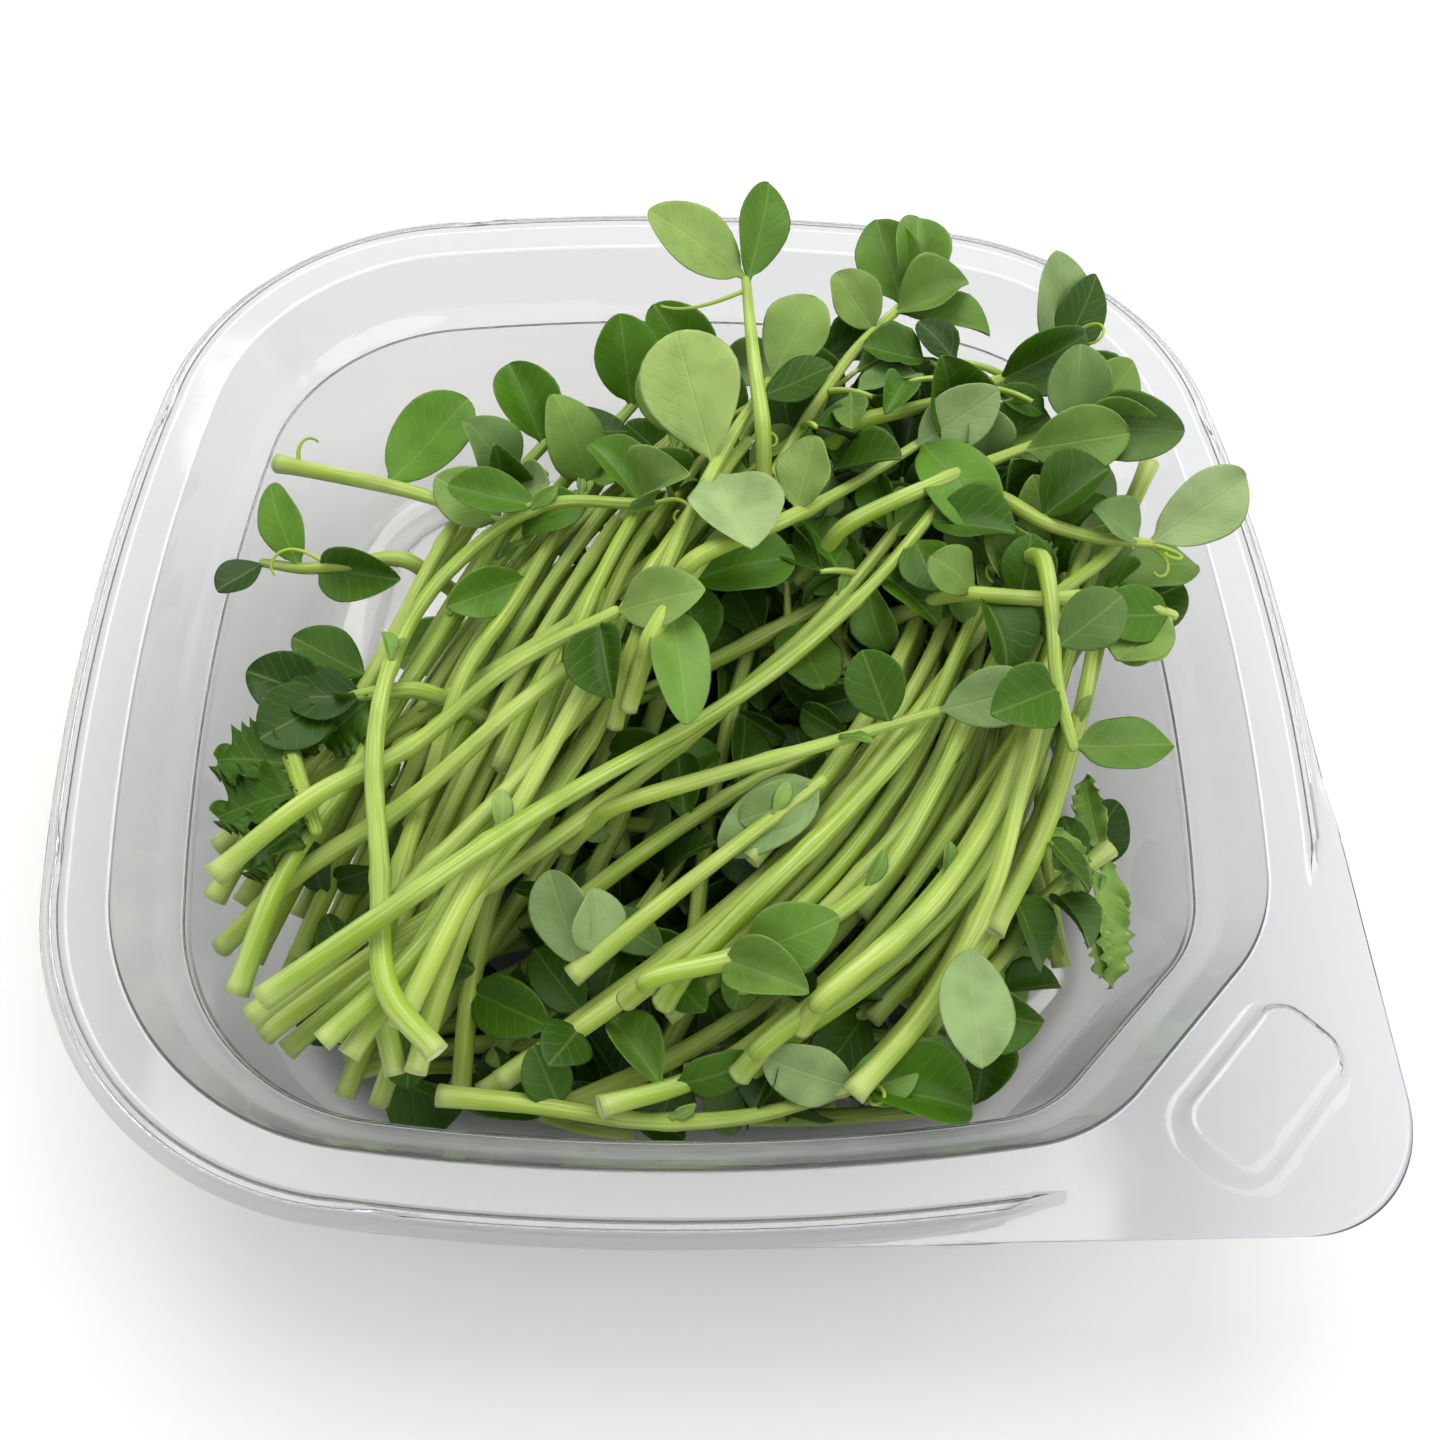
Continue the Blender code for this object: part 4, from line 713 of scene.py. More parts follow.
def lay_out(heap):
    """Places every stem, lowest first, and then every leaf. Gives, for each node, its stems and leaves."""
    draw = np.random.default_rng(20)
    nodes = {}
    for owner, (name, *shape) in enumerate(BUNCHES, start=1):
        stems = bunch_routes(heap, *shape)
        for stem, radii in stems:
            heap.add_stem(stem, radii, owner)
        nodes[name] = (owner, stems, [])
    for owner, (name, depth, hand_points, _) in enumerate(SHOOTS, start=len(BUNCHES) + 1):
        stem, radii = stem_route(heap, name, depth, hand_points)
        heap.add_stem(stem, radii, owner)
        nodes[name] = (owner, [(stem, radii)], [])
    for row, (name, share, heading, length, width) in enumerate(LEAVES):
        owner, stems, leaves = nodes[name]
        placed = place_leaf(heap, stems[0][0], share, heading, length, width, owner, draw)
        if placed and row in LEAF_POSES:
            *angles, length, width, fold, belly = LEAF_POSES[row]
            placed = (length, width, fold, placed[0][3], belly), (placed[1][0], *np.radians(angles))
        leaves.append((placed, LEAF_LOOKS.get(row)))
    for name, _, _, pairs in SHOOTS:
        owner, stems, leaves = nodes[name]
        add_leaves(heap, stems[0][0], 2 * pairs, owner, leaves, draw)
    for name, *_, ends_far in BUNCHES:
        owner, stems, leaves = nodes[name]
        for stem, _ in stems:
            add_leaves(heap, stem[::-1] if ends_far else stem, 1, owner, leaves, draw)
    return nodes


def add_leaves(heap, stem, count, owner, leaves, draw):
    """Leaves along the last third of a stem, on one side and the other in turn."""
    ahead = stem[-1] - stem[-3]
    heading = math.degrees(math.atan2(ahead[1], ahead[0]))
    for k in range(count):
        side = 1 - 2 * (k % 2)
        share = 1 - PAIR_STEP * (k // 2 + draw.uniform(0, PAIR_SHIFT))
        swing = side * draw.uniform(*PAIR_SWING)
        length = draw.uniform(*PAIR_LENGTH)
        width = length * draw.uniform(*PAIR_SLIMNESS)
        placed = place_leaf(heap, stem, share, heading + swing, length, width, owner, draw)
        leaves.append((placed, None))


class Room:
    """Where there is still room in the heap: for each cubic millimetre of the tray, how deep it lies inside
    the nearest stem or leaf, which is below zero where it lies outside."""

    def __init__(self, heap):
        self.shift = np.array((HALF_SIDE, HALF_SIDE, 0.0))
        self.deep = np.full(ROOM_CELLS, ROOM_EMPTY)
        self.mark(heap.points, heap.radii)

    def mark(self, points, radii):
        """Records round points: each cell near one is as deep as the radius less the distance to it."""
        span = np.arange(-ROOM_REACH, ROOM_REACH + 1)
        around = np.stack([grid.ravel() for grid in np.meshgrid(span, span, span, indexing="ij")], axis=-1)
        for part in np.array_split(np.arange(len(points)), max(1, len(points) // ROOM_BATCH)):
            place = points[part][:, None] + self.shift
            cells = np.clip(np.round(place).astype(int) + around[None], 0, np.array(self.deep.shape) - 1)
            away = np.linalg.norm(cells - place, axis=-1)
            np.maximum.at(self.deep, tuple(np.moveaxis(cells, -1, 0)), radii[part][:, None] - away)

    def depth(self, points):
        """How deep points lie."""
        cells = np.clip(np.round(points + self.shift).astype(int), 0, np.array(self.deep.shape) - 1)
        return self.deep[tuple(cells.T)]


def within_heap(x, y):
    """True where plan points lie under the heap, which leaves the tray bare at the back left and right."""
    left = HEAP_LEFT + np.maximum(y - HEAP_LEFT_FROM, 0) * HEAP_LEFT_SLOPE
    bare = (y > BARE_Y) & (x < BARE_X)
    return (x > left) & (x < HEAP_RIGHT) & (y < HEAP_BACK) & (y > HEAP_FRONT) & ~bare


def filling_stems(room, draw):
    """Stems in the gaps under the ones that show, the highest first. Most follow one of the two bundles: a
    route is a blend of the bundle's two edge routes, of which the stem takes a part. The rest lie across."""
    made = []
    edges = [[smooth_route(route, EDGE_POINTS) for route in pair] for pair in BUNDLES]
    whole = np.linspace(0, 1, EDGE_POINTS)
    ends = np.linspace(-1, 1, FILL_POINTS)
    for k in range(FILL_TRIES):
        down = FILL_DEPTH * k / FILL_TRIES + draw.uniform(*FILL_LAYER)
        if draw.random() < FOLLOW_SHARE:
            first, last = edges[draw.choice(2, p=BUNDLE_ODDS)]
            blend = draw.uniform(0, 1)
            route = first * (1 - blend) + last * blend
            start = draw.uniform(*FOLLOW_START)
            end = start + draw.uniform(*FOLLOW_TAKE) * (1 - start) + FOLLOW_LEAST
            part = np.linspace(start, end, FILL_POINTS)
            plan = resampled(route, whole, part)
            plan = plan + draw.uniform(-FOLLOW_SHIFT, FOLLOW_SHIFT, 2)
            plan = plan + draw.uniform(-FOLLOW_LEAN, FOLLOW_LEAN) * ends[:, None]
        else:
            t = np.linspace(-0.5, 0.5, FILL_POINTS)
            heading = draw.uniform(0, math.pi)
            length = draw.uniform(*ACROSS_LENGTH)
            bow = draw.uniform(-ACROSS_BOW, ACROSS_BOW) * (1 - 4 * t ** 2)
            plan = np.column_stack((
                draw.uniform(-66, 60) + math.cos(heading) * t * length - math.sin(heading) * bow,
                draw.uniform(-72, 40) + math.sin(heading) * t * length + math.cos(heading) * bow))
            down += ACROSS_DOWN
        x, y = plan.T
        z = heap_top(x, y) - down + draw.uniform(-FILL_TILT, FILL_TILT) * ends
        z = np.maximum(z, FLOOR_Z + STEM_R)
        if not within_heap(x, y).all() or (inset_of(x, y) < inset_needed(z - STEM_R) + STEM_R).any():
            continue
        points = np.column_stack((x, y, z))
        fine, _ = fine_line(points)
        radii = np.linspace(STEM_R * draw.uniform(FILL_SLIMMEST, 1.0), TIP_R * 1.2, len(z))
        if room.depth(fine).max() + radii[0] > FILL_OVERLAP:
            continue
        made.append((points, radii))
        room.mark(fine, np.full(len(fine), radii.mean()))
    return made


def filling_leaves(room, stems, draw):
    """Leaves in the gaps, each with its foot on a stem."""
    made = []
    for _ in range(FILL_LEAF_TRIES):
        points, _ = stems[draw.integers(len(stems))]
        base = point_on(points, draw.uniform(0.05, 1.0))
        length = draw.uniform(*FILL_LEAF_LENGTH)
        width = length * draw.uniform(*FILL_LEAF_SLIMNESS)
        form = (length, width, draw.uniform(*FOLD), draw.uniform(*ARCH))
        pose = (base, draw.uniform(0, 2 * math.pi), *draw.uniform(-FILL_LEAF_TILT, FILL_LEAF_TILT, 2))
        samples = turned(leaf_samples(form), *pose)
        outer = samples[len(samples) // 5:]
        x, y, z = samples.T
        cover = np.where((y < -52) | (x - y > 78), EDGE_COVER, FILL_COVER)
        if (not within_heap(x, y).all() or (inset_of(x, y) < inset_needed(z - 1)).any()
                or z.min() < FLOOR_Z or (z > heap_top(x, y) - cover).any()):
            continue
        if room.depth(outer).max() + 0.35 > 0:
            continue
        made.append((form, pose))
        room.mark(samples, np.full(len(samples), 0.4))
    return made


def within_mass(points):
    """True where points lie in the leafy mass at the back right, an oval in plan that rises a little out of
    the heap."""
    x, y, z = points.T
    oval = ((x - MASS_X) / MASS_HALF_X) ** 2 + ((y - MASS_Y) / MASS_HALF_Y) ** 2
    return (oval < 1) & (z < heap_top(x, y) + MASS_RISE * (1 - oval)) & (z > FLOOR_Z)


def sprigs(room, stems, draw):
    """Side shoots in the leafy mass: a thin stalk that leaves a stem, arches over and bears leaflets in
    pairs, as a pea's leaf does. Each leaflet is turned until there is room for it."""
    made = []
    for _ in range(SPRIG_TRIES):
        points, _ = stems[draw.integers(len(stems))]
        base = point_on(points, draw.uniform(0.45, 1.0))
        if not within_mass(base[None]).all():
            continue
        heading = draw.uniform(0, 2 * math.pi)
        pitch = draw.uniform(*SPRIG_PITCH)
        length = draw.uniform(*SPRIG_LENGTH)
        ahead = aimed(heading, pitch)
        t = np.linspace(0, 1, 5)[:, None]
        stalk = base + ahead * t * length - np.array((0, 0, SPRIG_DROOP)) * length * t ** 2
        fine, _ = fine_line(stalk)
        if not within_mass(stalk).all() or room.depth(fine[4:]).max() + 0.5 > 0:
            continue
        leaves = []
        for k, share in enumerate(SPRIG_LEAVES):
            size = draw.uniform(*SPRIG_LEAF_LENGTH)
            width = size * draw.uniform(*SPRIG_LEAF_SLIMNESS)
            form = (size, width, draw.uniform(*SPRIG_LEAF_FOLD), draw.uniform(*ARCH))
            for _ in range(SPRIG_LEAF_TRIES):
                swing = (1 - 2 * (k % 2)) * draw.uniform(0.3, 1.5) if k < 4 else draw.uniform(-0.3, 0.3)
                pose = (point_on(stalk, share), heading + swing, draw.uniform(-0.7, 0.9),
                        draw.uniform(-1.2, 1.2))
                samples = turned(leaf_samples(form), *pose)
                x, y, z = samples.T
                inside = within_mass(samples).all() and (inset_of(x, y) >= inset_needed(z - 1)).all()
                if inside and room.depth(samples[len(samples) // 6:]).max() < -SPRIG_GAP:
                    leaves.append((form, pose))
                    room.mark(samples, np.full(len(samples), 0.35))
                    break
        if leaves:
            made.append((stalk, leaves))
            room.mark(fine, np.full(len(fine), 0.5))
    return made


class Growth:
    """The surfaces of one piece, gathered before they become its mesh: each is a grid of rings from a foot
    to a tip. With the points go where they lie on the stem or leaf in millimetres, which the finishes read,
    and three shares: how pale, how vivid, and how far towards an underside or a cut end."""

    def __init__(self):
        self.points = []
        self.shares = []
        self.corners = []
        self.sizes = []
        self.grain = []
        self.finish = []
        self.count = 0

    def add(self, grid, grain, shares, finish):
        """Adds a grid of rings by points round them. grain has one more column than the grid, so that it
        runs right round. The first and last rings are each closed by a fan."""
        rings, around = grid.shape[:2]
        ends = np.stack((grid[0].mean(axis=0), grid[-1].mean(axis=0)))
        self.points.append(np.concatenate((grid.reshape(-1, 3), ends)))
        middle = np.stack((shares[0].mean(axis=0), shares[-1].mean(axis=0)))
        self.shares.append(np.concatenate((shares.reshape(-1, 3), middle)))
        row = np.arange(rings - 1)[:, None]
        column = np.arange(around)[None]
        after = (column + 1) % around
        quads = np.stack((row * around + column, row * around + after,
                          (row + 1) * around + after, (row + 1) * around + column), axis=-1)
        quad_grain = np.stack((grain[:-1, :-1], grain[:-1, 1:], grain[1:, 1:], grain[1:, :-1]), axis=2)
        first = rings * around
        last = (rings - 1) * around
        column = column[0]
        after = after[0]
        foot = np.stack((after, column, np.full(around, first)), axis=-1)
        tip = np.stack((last + column, last + after, np.full(around, first + 1)), axis=-1)
        foot_grain = np.stack((grain[0, 1:], grain[0, :-1], (grain[0, 1:] + grain[0, :-1]) / 2), axis=1)
        tip_grain = np.stack((grain[-1, :-1], grain[-1, 1:], (grain[-1, 1:] + grain[-1, :-1]) / 2), axis=1)
        for faces, face_grain in ((quads.reshape(-1, 4), quad_grain.reshape(-1, 2)),
                                  (foot, foot_grain.reshape(-1, 2)), (tip, tip_grain.reshape(-1, 2))):
            self.corners.append((faces + self.count).ravel())
            self.sizes.append(np.full(len(faces), faces.shape[1]))
            self.grain.append(face_grain)
            self.finish.append(np.full(len(faces), finish))
        self.count += first + 2

    def piece(self, name, finishes):
        """Makes the mesh object, with its finishes in their slots."""
        corners = np.concatenate(self.corners)
        sizes = np.concatenate(self.sizes)
        mesh = bpy.data.meshes.new(name)
        mesh.vertices.add(self.count)
        mesh.vertices.foreach_set("co", (np.concatenate(self.points) * MM).ravel())
        mesh.loops.add(len(corners))
        mesh.loops.foreach_set("vertex_index", corners.astype(np.int32))
        mesh.polygons.add(len(sizes))
        mesh.polygons.foreach_set("loop_start", (np.cumsum(sizes) - sizes).astype(np.int32))
        mesh.polygons.foreach_set("material_index", np.concatenate(self.finish).astype(np.int32))
        mesh.update(calc_edges=True)
        lines = mesh.uv_layers.new(name="grain")
        lines.data.foreach_set("uv", np.concatenate(self.grain).ravel())
        shares = mesh.attributes.new("shares", "FLOAT_VECTOR", "POINT")
        shares.data.foreach_set("vector", np.concatenate(self.shares).ravel())
        mesh.shade_smooth()
        for finish in finishes:
            mesh.materials.append(finish)
        made = bpy.data.objects.new(name, mesh)
        bpy.context.scene.collection.objects.link(made)
        return made


def unit(vectors):
    """Vectors of length one."""
    return vectors / np.maximum(np.linalg.norm(vectors, axis=-1, keepdims=True), 1e-9)


def smooth_path(points, values, spacing):
    """Points about the spacing apart on a cubic through the given ones, whose slope at each of them is that
    of the straight line between its two neighbours, and the values that go with them."""
    slope = np.gradient(points, axis=0)
    length = length_of(points)
    place = np.linspace(0, len(points) - 1, max(4, int(length / spacing) + 1))
    k = np.minimum(place.astype(int), len(points) - 2)
    t = (place - k)[:, None]
    path = ((2 * t ** 3 - 3 * t ** 2 + 1) * points[k] + (t ** 3 - 2 * t ** 2 + t) * slope[k]
            + (3 * t ** 2 - 2 * t ** 3) * points[k + 1] + (t ** 3 - t ** 2) * slope[k + 1])
    return path, np.interp(place, np.arange(len(points)), values)


def bar(growth, path, radius, around, shares, cut=None, ridge=0.0, turn=0.0, up=(0.0, 0.0, 1.0)):
    """A round bar: at each point of the path a ring stands square to it, of the given radius, with a few
    soft ridges round it. cut gives the rows of the cut end as inward offset and share of the radius."""
    along = unit(np.gradient(path, axis=0))
    across = unit(np.cross(along, np.cross(np.broadcast_to(up, along.shape), along)))
    other = np.cross(along, across)
    travelled = np.concatenate(((0.0,), np.cumsum(np.linalg.norm(np.diff(path, axis=0), axis=1))))
    if cut is not None:
        sunk = cut[:, 0]
        path = np.concatenate((path[0] + along[0] * sunk[:, None], path))
        radius = np.concatenate((radius[0] * cut[:, 1], radius))
        along, across, other = (np.concatenate((np.repeat(v[:1], len(cut), axis=0), v))
                                for v in (along, across, other))
        travelled = np.concatenate((-radius[0] - cut[::-1, 1], travelled))
        shares = np.concatenate((np.broadcast_to((shares[0, 0], shares[0, 1], 1.0), (len(cut), 3)), shares))
    angle = np.linspace(0, 2 * math.pi, around + 1)
    ripple = 1 + ridge * (np.cos(5 * angle[:-1] + turn) + 0.6 * np.cos(2 * angle[:-1] - turn))
    out = (across[:, None] * np.cos(angle[:-1])[None, :, None]
           + other[:, None] * np.sin(angle[:-1])[None, :, None])
    grid = path[:, None] + out * (radius[:, None] * ripple[None])[..., None]
    grain = np.stack(np.broadcast_arrays(travelled[:, None], radius.max() * angle[None]), axis=-1)
    growth.add(grid, grain, np.broadcast_to(shares[:, None], (*grid.shape[:2], 3)), 0)


def stem(growth, points, radii, draw, joints, spacing=1.5, around=12):
    """A stem: a bar along a smooth path that swells a little at its joints, flares at its cut end, and ends
    there in a face square to it that is sunk in the middle."""
    path, radius = smooth_path(points, radii, spacing)
    place = np.linspace(0, 1, len(path))
    length = length_of(path)
    for joint in joints:
        radius = radius * (1 + JOINT_SWELL * np.exp(-((place - joint) * length / JOINT_REACH) ** 2))
    flare = draw.uniform(*FLARE)
    radius = radius * (1 + flare * np.exp(-place * length / FLARE_REACH))
    radius = radius * (1 + WAVER * np.sin(place * length / 6 + draw.uniform(0, 6)))
    pale = draw.uniform(0.15, 1.0)
    vivid = draw.uniform(0, 1)
    shares = np.stack((np.clip(pale - 0.45 * place ** 2, 0, 1), np.full(len(place), vivid),
                       0.35 * np.exp(-place * length / 3.0)), axis=-1)
    tip = np.array(TIP_ROWS)
    path = np.concatenate((path, path[-1] + unit(path[-1] - path[-2]) * tip[:, :1]))
    radius = np.concatenate((radius, radius[-1] * tip[:, 1]))
    shares = np.concatenate((shares, np.repeat(shares[-1:], 2, axis=0)))
    bar(growth, path, radius, around, shares, np.array(CUT_ROWS), RIDGE, draw.uniform(0, 6))


def leaf(growth, form, pose, look, draw, rows=17, half=8, frill=0.0):
    """A leaflet, as a lens in section: the egg-shaped blade of the solid on a short stalk, with its edge
    gently waved, or crinkled by a frill, its tip turned down and its two faces a little apart."""
    length, width, fold, arch, *belly = form
    if not frill and (look is None or rows < 17):
        fold = fold + draw.choice(MORE_FOLD)
    u = (1 - np.cos(math.pi * np.linspace(0, 1, rows))) / 2
    down = np.cos(math.pi * np.arange(half + 1) / half)
    v = np.concatenate((down, -down[1:-1]))
    upper = np.concatenate((np.ones(half + 1), -np.ones(half - 1)))
    upper[[0, half]] = 0.0
    s = np.clip((u - STALK_SHARE) / (1 - STALK_SHARE), 0, 1)
    belly = belly[0] if belly else draw.uniform(*BELLY)
    reach = 0.5 * width * np.sin(math.pi * s ** belly) ** draw.uniform(*BLUNTNESS)
    reach = np.maximum(reach, 0.5 * (1 - u) + 0.03)
    x = length * np.broadcast_to(u[:, None], (rows, len(v)))
    y = v[None] * reach[:, None]
    crease = np.sqrt(y ** 2 + 0.09) - 0.3
    wave = draw.uniform(*WAVE) * width * v[None] ** 2
    wave = wave * np.sin(2 * math.pi * (draw.uniform(1.2, 2.4) * u[:, None] + 0.25 * np.sign(v)[None]
                                        + draw.uniform(0, 1)))
    ruffle = np.sin(2 * math.pi * (5.3 * u[:, None] + 0.4 * np.sin(9 * u[:, None]) + 0.3 * np.sign(v)[None]))
    wave = wave + frill * width * np.abs(v[None]) ** 3 * ruffle
    y = y * (1 + 0.3 * frill * v[None] ** 4 * np.cos(2 * math.pi * 8.7 * u[:, None] + np.sign(v)[None]))
    curl = draw.uniform(*CURL) * length * np.clip(u[:, None] - 0.6, 0, 1) ** 2 * 3
    cup = draw.uniform(*CUP) * y ** 2 / width * 2
    z = fold * crease + arch * length * (np.sin(math.pi * u) - 0.25 * u)[:, None] + wave - curl + cup
    thick = np.where(s[:, None] > 0.02, BLADE_THICK, STALK_THICK)
    thick = 0.5 * thick * np.sqrt(np.maximum(1 - v[None] ** 2, 0))
    z = z + np.where(upper > 0, 1, -1)[None] * thick
    twist = draw.uniform(-TWIST, TWIST) * u[:, None] ** 2
    y, z = y * np.cos(twist) - z * np.sin(twist), y * np.sin(twist) + z * np.cos(twist)
    grid = turned(np.stack(np.broadcast_arrays(x, y, z), axis=-1), *pose)
    grain = np.stack(np.broadcast_arrays(length * u[:, None], y), axis=-1)
    grain = np.concatenate((grain, grain[:, :1]), axis=1)
    pale, vivid, turned_over = look or (draw.uniform(-0.5, 0.5), draw.uniform(0, 0.8), draw.random() < 0.15)
    under = 0.5 - 0.5 * upper * (-1 if turned_over else 1)
    shares = np.broadcast_to(np.stack((np.full(len(v), pale), np.full(len(v), vivid), under), axis=-1)[None],
                             (rows, len(v), 3))
    growth.add(grid, grain, shares, 1)


def painted_shade_look(draw):
    """The look of a leaf deep in the heap: darker green, painted shade for the heap's shaded inside."""
    return draw.uniform(-0.7, 0.1), draw.uniform(0, 0.6), draw.random() < 0.15


def tendril(growth, base, heading, pitch, length, turn, draw):
    """A tendril: a thread that starts straight and curls up more and more tightly in its own plane."""
    s = np.linspace(0, 1, TENDRIL_POINTS)
    bend = turn * math.pi * s ** 2.2
    step = length / len(s)
    ahead = aimed(heading, pitch)
    side = unit(np.cross(ahead, (draw.uniform(-0.6, 0.6), draw.uniform(-0.6, 0.6), 1.0)))
    path = base + np.cumsum((np.cos(bend)[:, None] * ahead + np.sin(bend)[:, None] * side) * step, axis=0)
    radius = 0.42 - 0.22 * s
    shares = np.broadcast_to((draw.uniform(0.4, 0.9), 0.7, 0.0), (len(s), 3))
    bar(growth, path, radius, 6, shares, up=tuple(np.cross(ahead, side)))


def sunk(points, radii, share, size):
    """A shoot with its foot carried on, back along its own line and down into the heap, by a share of the
    full steps, and its thickness changed by size."""
    back = unit((points[0] - points[1]) * (1, 1, 0))
    steps = np.array(SUNK_STEPS)
    foot = points[0] + share * (steps[:, :1] * back + steps[:, 1:] * (0, 0, 1))
    return np.concatenate((foot, points)), np.concatenate((radii[:1], radii[:1], radii)) * size


def scale_leaves(growth, points, joints, draw):
    """The small leafy scales that clasp a stem at its joints."""
    for joint in joints:
        base = point_on(points, joint)
        ahead = point_on(points, min(1, joint + 0.05)) - point_on(points, joint - 0.05)
        heading = math.atan2(ahead[1], ahead[0])
        pitch = math.atan2(ahead[2], math.hypot(ahead[0], ahead[1]))
        for side in (-1, 1):
            if draw.random() < 1 - SCALE_SHARE:
                continue
            size = draw.uniform(3.5, 6.5)
            aim = heading + side * math.radians(draw.uniform(12, 38))
            pose = (base + (0, 0, 0.9), aim, pitch + math.radians(draw.uniform(4, 22)), side * 0.5)
            look = (draw.uniform(0.2, 0.8), draw.uniform(0.3, 0.9), False)
            leaf(growth, (size, size * 0.5, 0.3, 0.05), pose, look, draw, rows=9, half=4)


def paint(code):
    """An sRGB hex colour in linear light: each channel by the sRGB curve."""
    channels = (int(code[k:k + 2], 16) / 255 for k in (1, 3, 5))
    return (*(c / 12.92 if c <= 0.04045 else ((c + 0.055) / 1.055) ** 2.4 for c in channels), 1.0)


def add_node(finish, kind, settings=None, **links):
    """Adds a node: settings are its own properties, links its inputs by name, with _ for a space and i0, i1
    for inputs known by number, each given a value or another node's output."""
    made = finish.node_tree.nodes.new(kind)
    for key, value in (settings or {}).items():
        setattr(made, key, value)
    for key, value in links.items():
        socket = made.inputs[int(key[1:])] if key[1:].isdigit() else made.inputs[key.replace("_", " ")]
        if isinstance(value, bpy.types.NodeSocket):
            finish.node_tree.links.new(value, socket)
        else:
            socket.default_value = value
    return made


def blank_finish(name):
    """A material and its surface shader."""
    finish = bpy.data.materials.new(name)
    finish.use_nodes = True
    return finish, finish.node_tree.nodes["Principled BSDF"]


def join(finish, share, first, second):
    """A colour between two others."""
    return add_node(finish, "ShaderNodeMix", {"data_type": "RGBA"}, i0=share, i6=first, i7=second).outputs[2]


def work(finish, operation, first, second=0.0, third=0.0, clamp=False):
    """A number worked out from others."""
    made = add_node(finish, "ShaderNodeMath", {"operation": operation, "use_clamp": clamp},
                    i0=first, i1=second, i2=third)
    return made.outputs[0]


def grown_lines(finish):
    """What a stem's or a leaf's own mesh tells its finish: its grain and its three shares. Also the place."""
    lines = add_node(finish, "ShaderNodeUVMap", {"uv_map": "grain"}).outputs[0]
    shares = add_node(finish, "ShaderNodeAttribute", {"attribute_name": "shares"}).outputs["Vector"]
    split = add_node(finish, "ShaderNodeSeparateXYZ", i0=shares)
    place = add_node(finish, "ShaderNodeTexCoord").outputs["Object"]
    return lines, place, *split.outputs


def fresh_stem():
    """Pea shoot stem, fresh and full of water: smooth skin with fine ribs along it, waxy, and light enough
    for the eye to see some way into it, so it looks soft and a little lit from inside. Paler streaks follow
    the ribs, the tip is greener, and the cut end is pale and wet."""
    finish, surface = blank_finish("fresh_pea_stem")
    lines, place, pale, vivid, cut = grown_lines(finish)
    # ribs 0.7 mm apart round the stem, streaks 20 to 30 mm long
    stretched = add_node(finish, "ShaderNodeVectorMath", {"operation": "MULTIPLY"},
                         i0=lines, i1=(0.045, 1.4, 1))
    streaks = add_node(finish, "ShaderNodeTexNoise", {"noise_dimensions": "2D"}, Vector=stretched.outputs[0],
                       Scale=1.0, Detail=3.0, Roughness=0.6).outputs[0]
    # mottling about 9 mm across
    mottle = add_node(finish, "ShaderNodeTexNoise", Vector=place, Scale=110.0, Detail=2.0).outputs[0]
    green = join(finish, pale, paint("#7f9b24"), paint("#a5b850"))
    green = join(finish, work(finish, "MULTIPLY", vivid, 0.4), green, paint("#86aa22"))
    light = work(finish, "MULTIPLY_ADD", streaks, 2.6, -0.95, clamp=True)
    green = join(finish, work(finish, "MULTIPLY", light, 0.75), green, paint("#c2cf8c"))
    shade = work(finish, "MULTIPLY_ADD", mottle, -2.4, 1.45, clamp=True)
    green = join(finish, work(finish, "MULTIPLY", shade, 0.5), green, paint("#64841d"))
    green = join(finish, cut, green, paint("#c8d296"))
    finish.node_tree.links.new(green, surface.inputs["Base Color"])
    bump = add_node(finish, "ShaderNodeBump", Strength=0.35, Distance=0.00025, Height=streaks)
    finish.node_tree.links.new(bump.outputs[0], surface.inputs["Normal"])
    rough = work(finish, "MULTIPLY_ADD", mottle, 0.25, 0.28)
    finish.node_tree.links.new(rough, surface.inputs["Roughness"])
    surface.inputs["IOR"].default_value = 1.42
    surface.inputs["Specular IOR Level"].default_value = 0.35
    surface.inputs["Subsurface Weight"].default_value = 0.3
    surface.inputs["Subsurface Radius"].default_value = (1.0, 1.0, 0.35)
    surface.inputs["Subsurface Scale"].default_value = 0.0016
    return finish


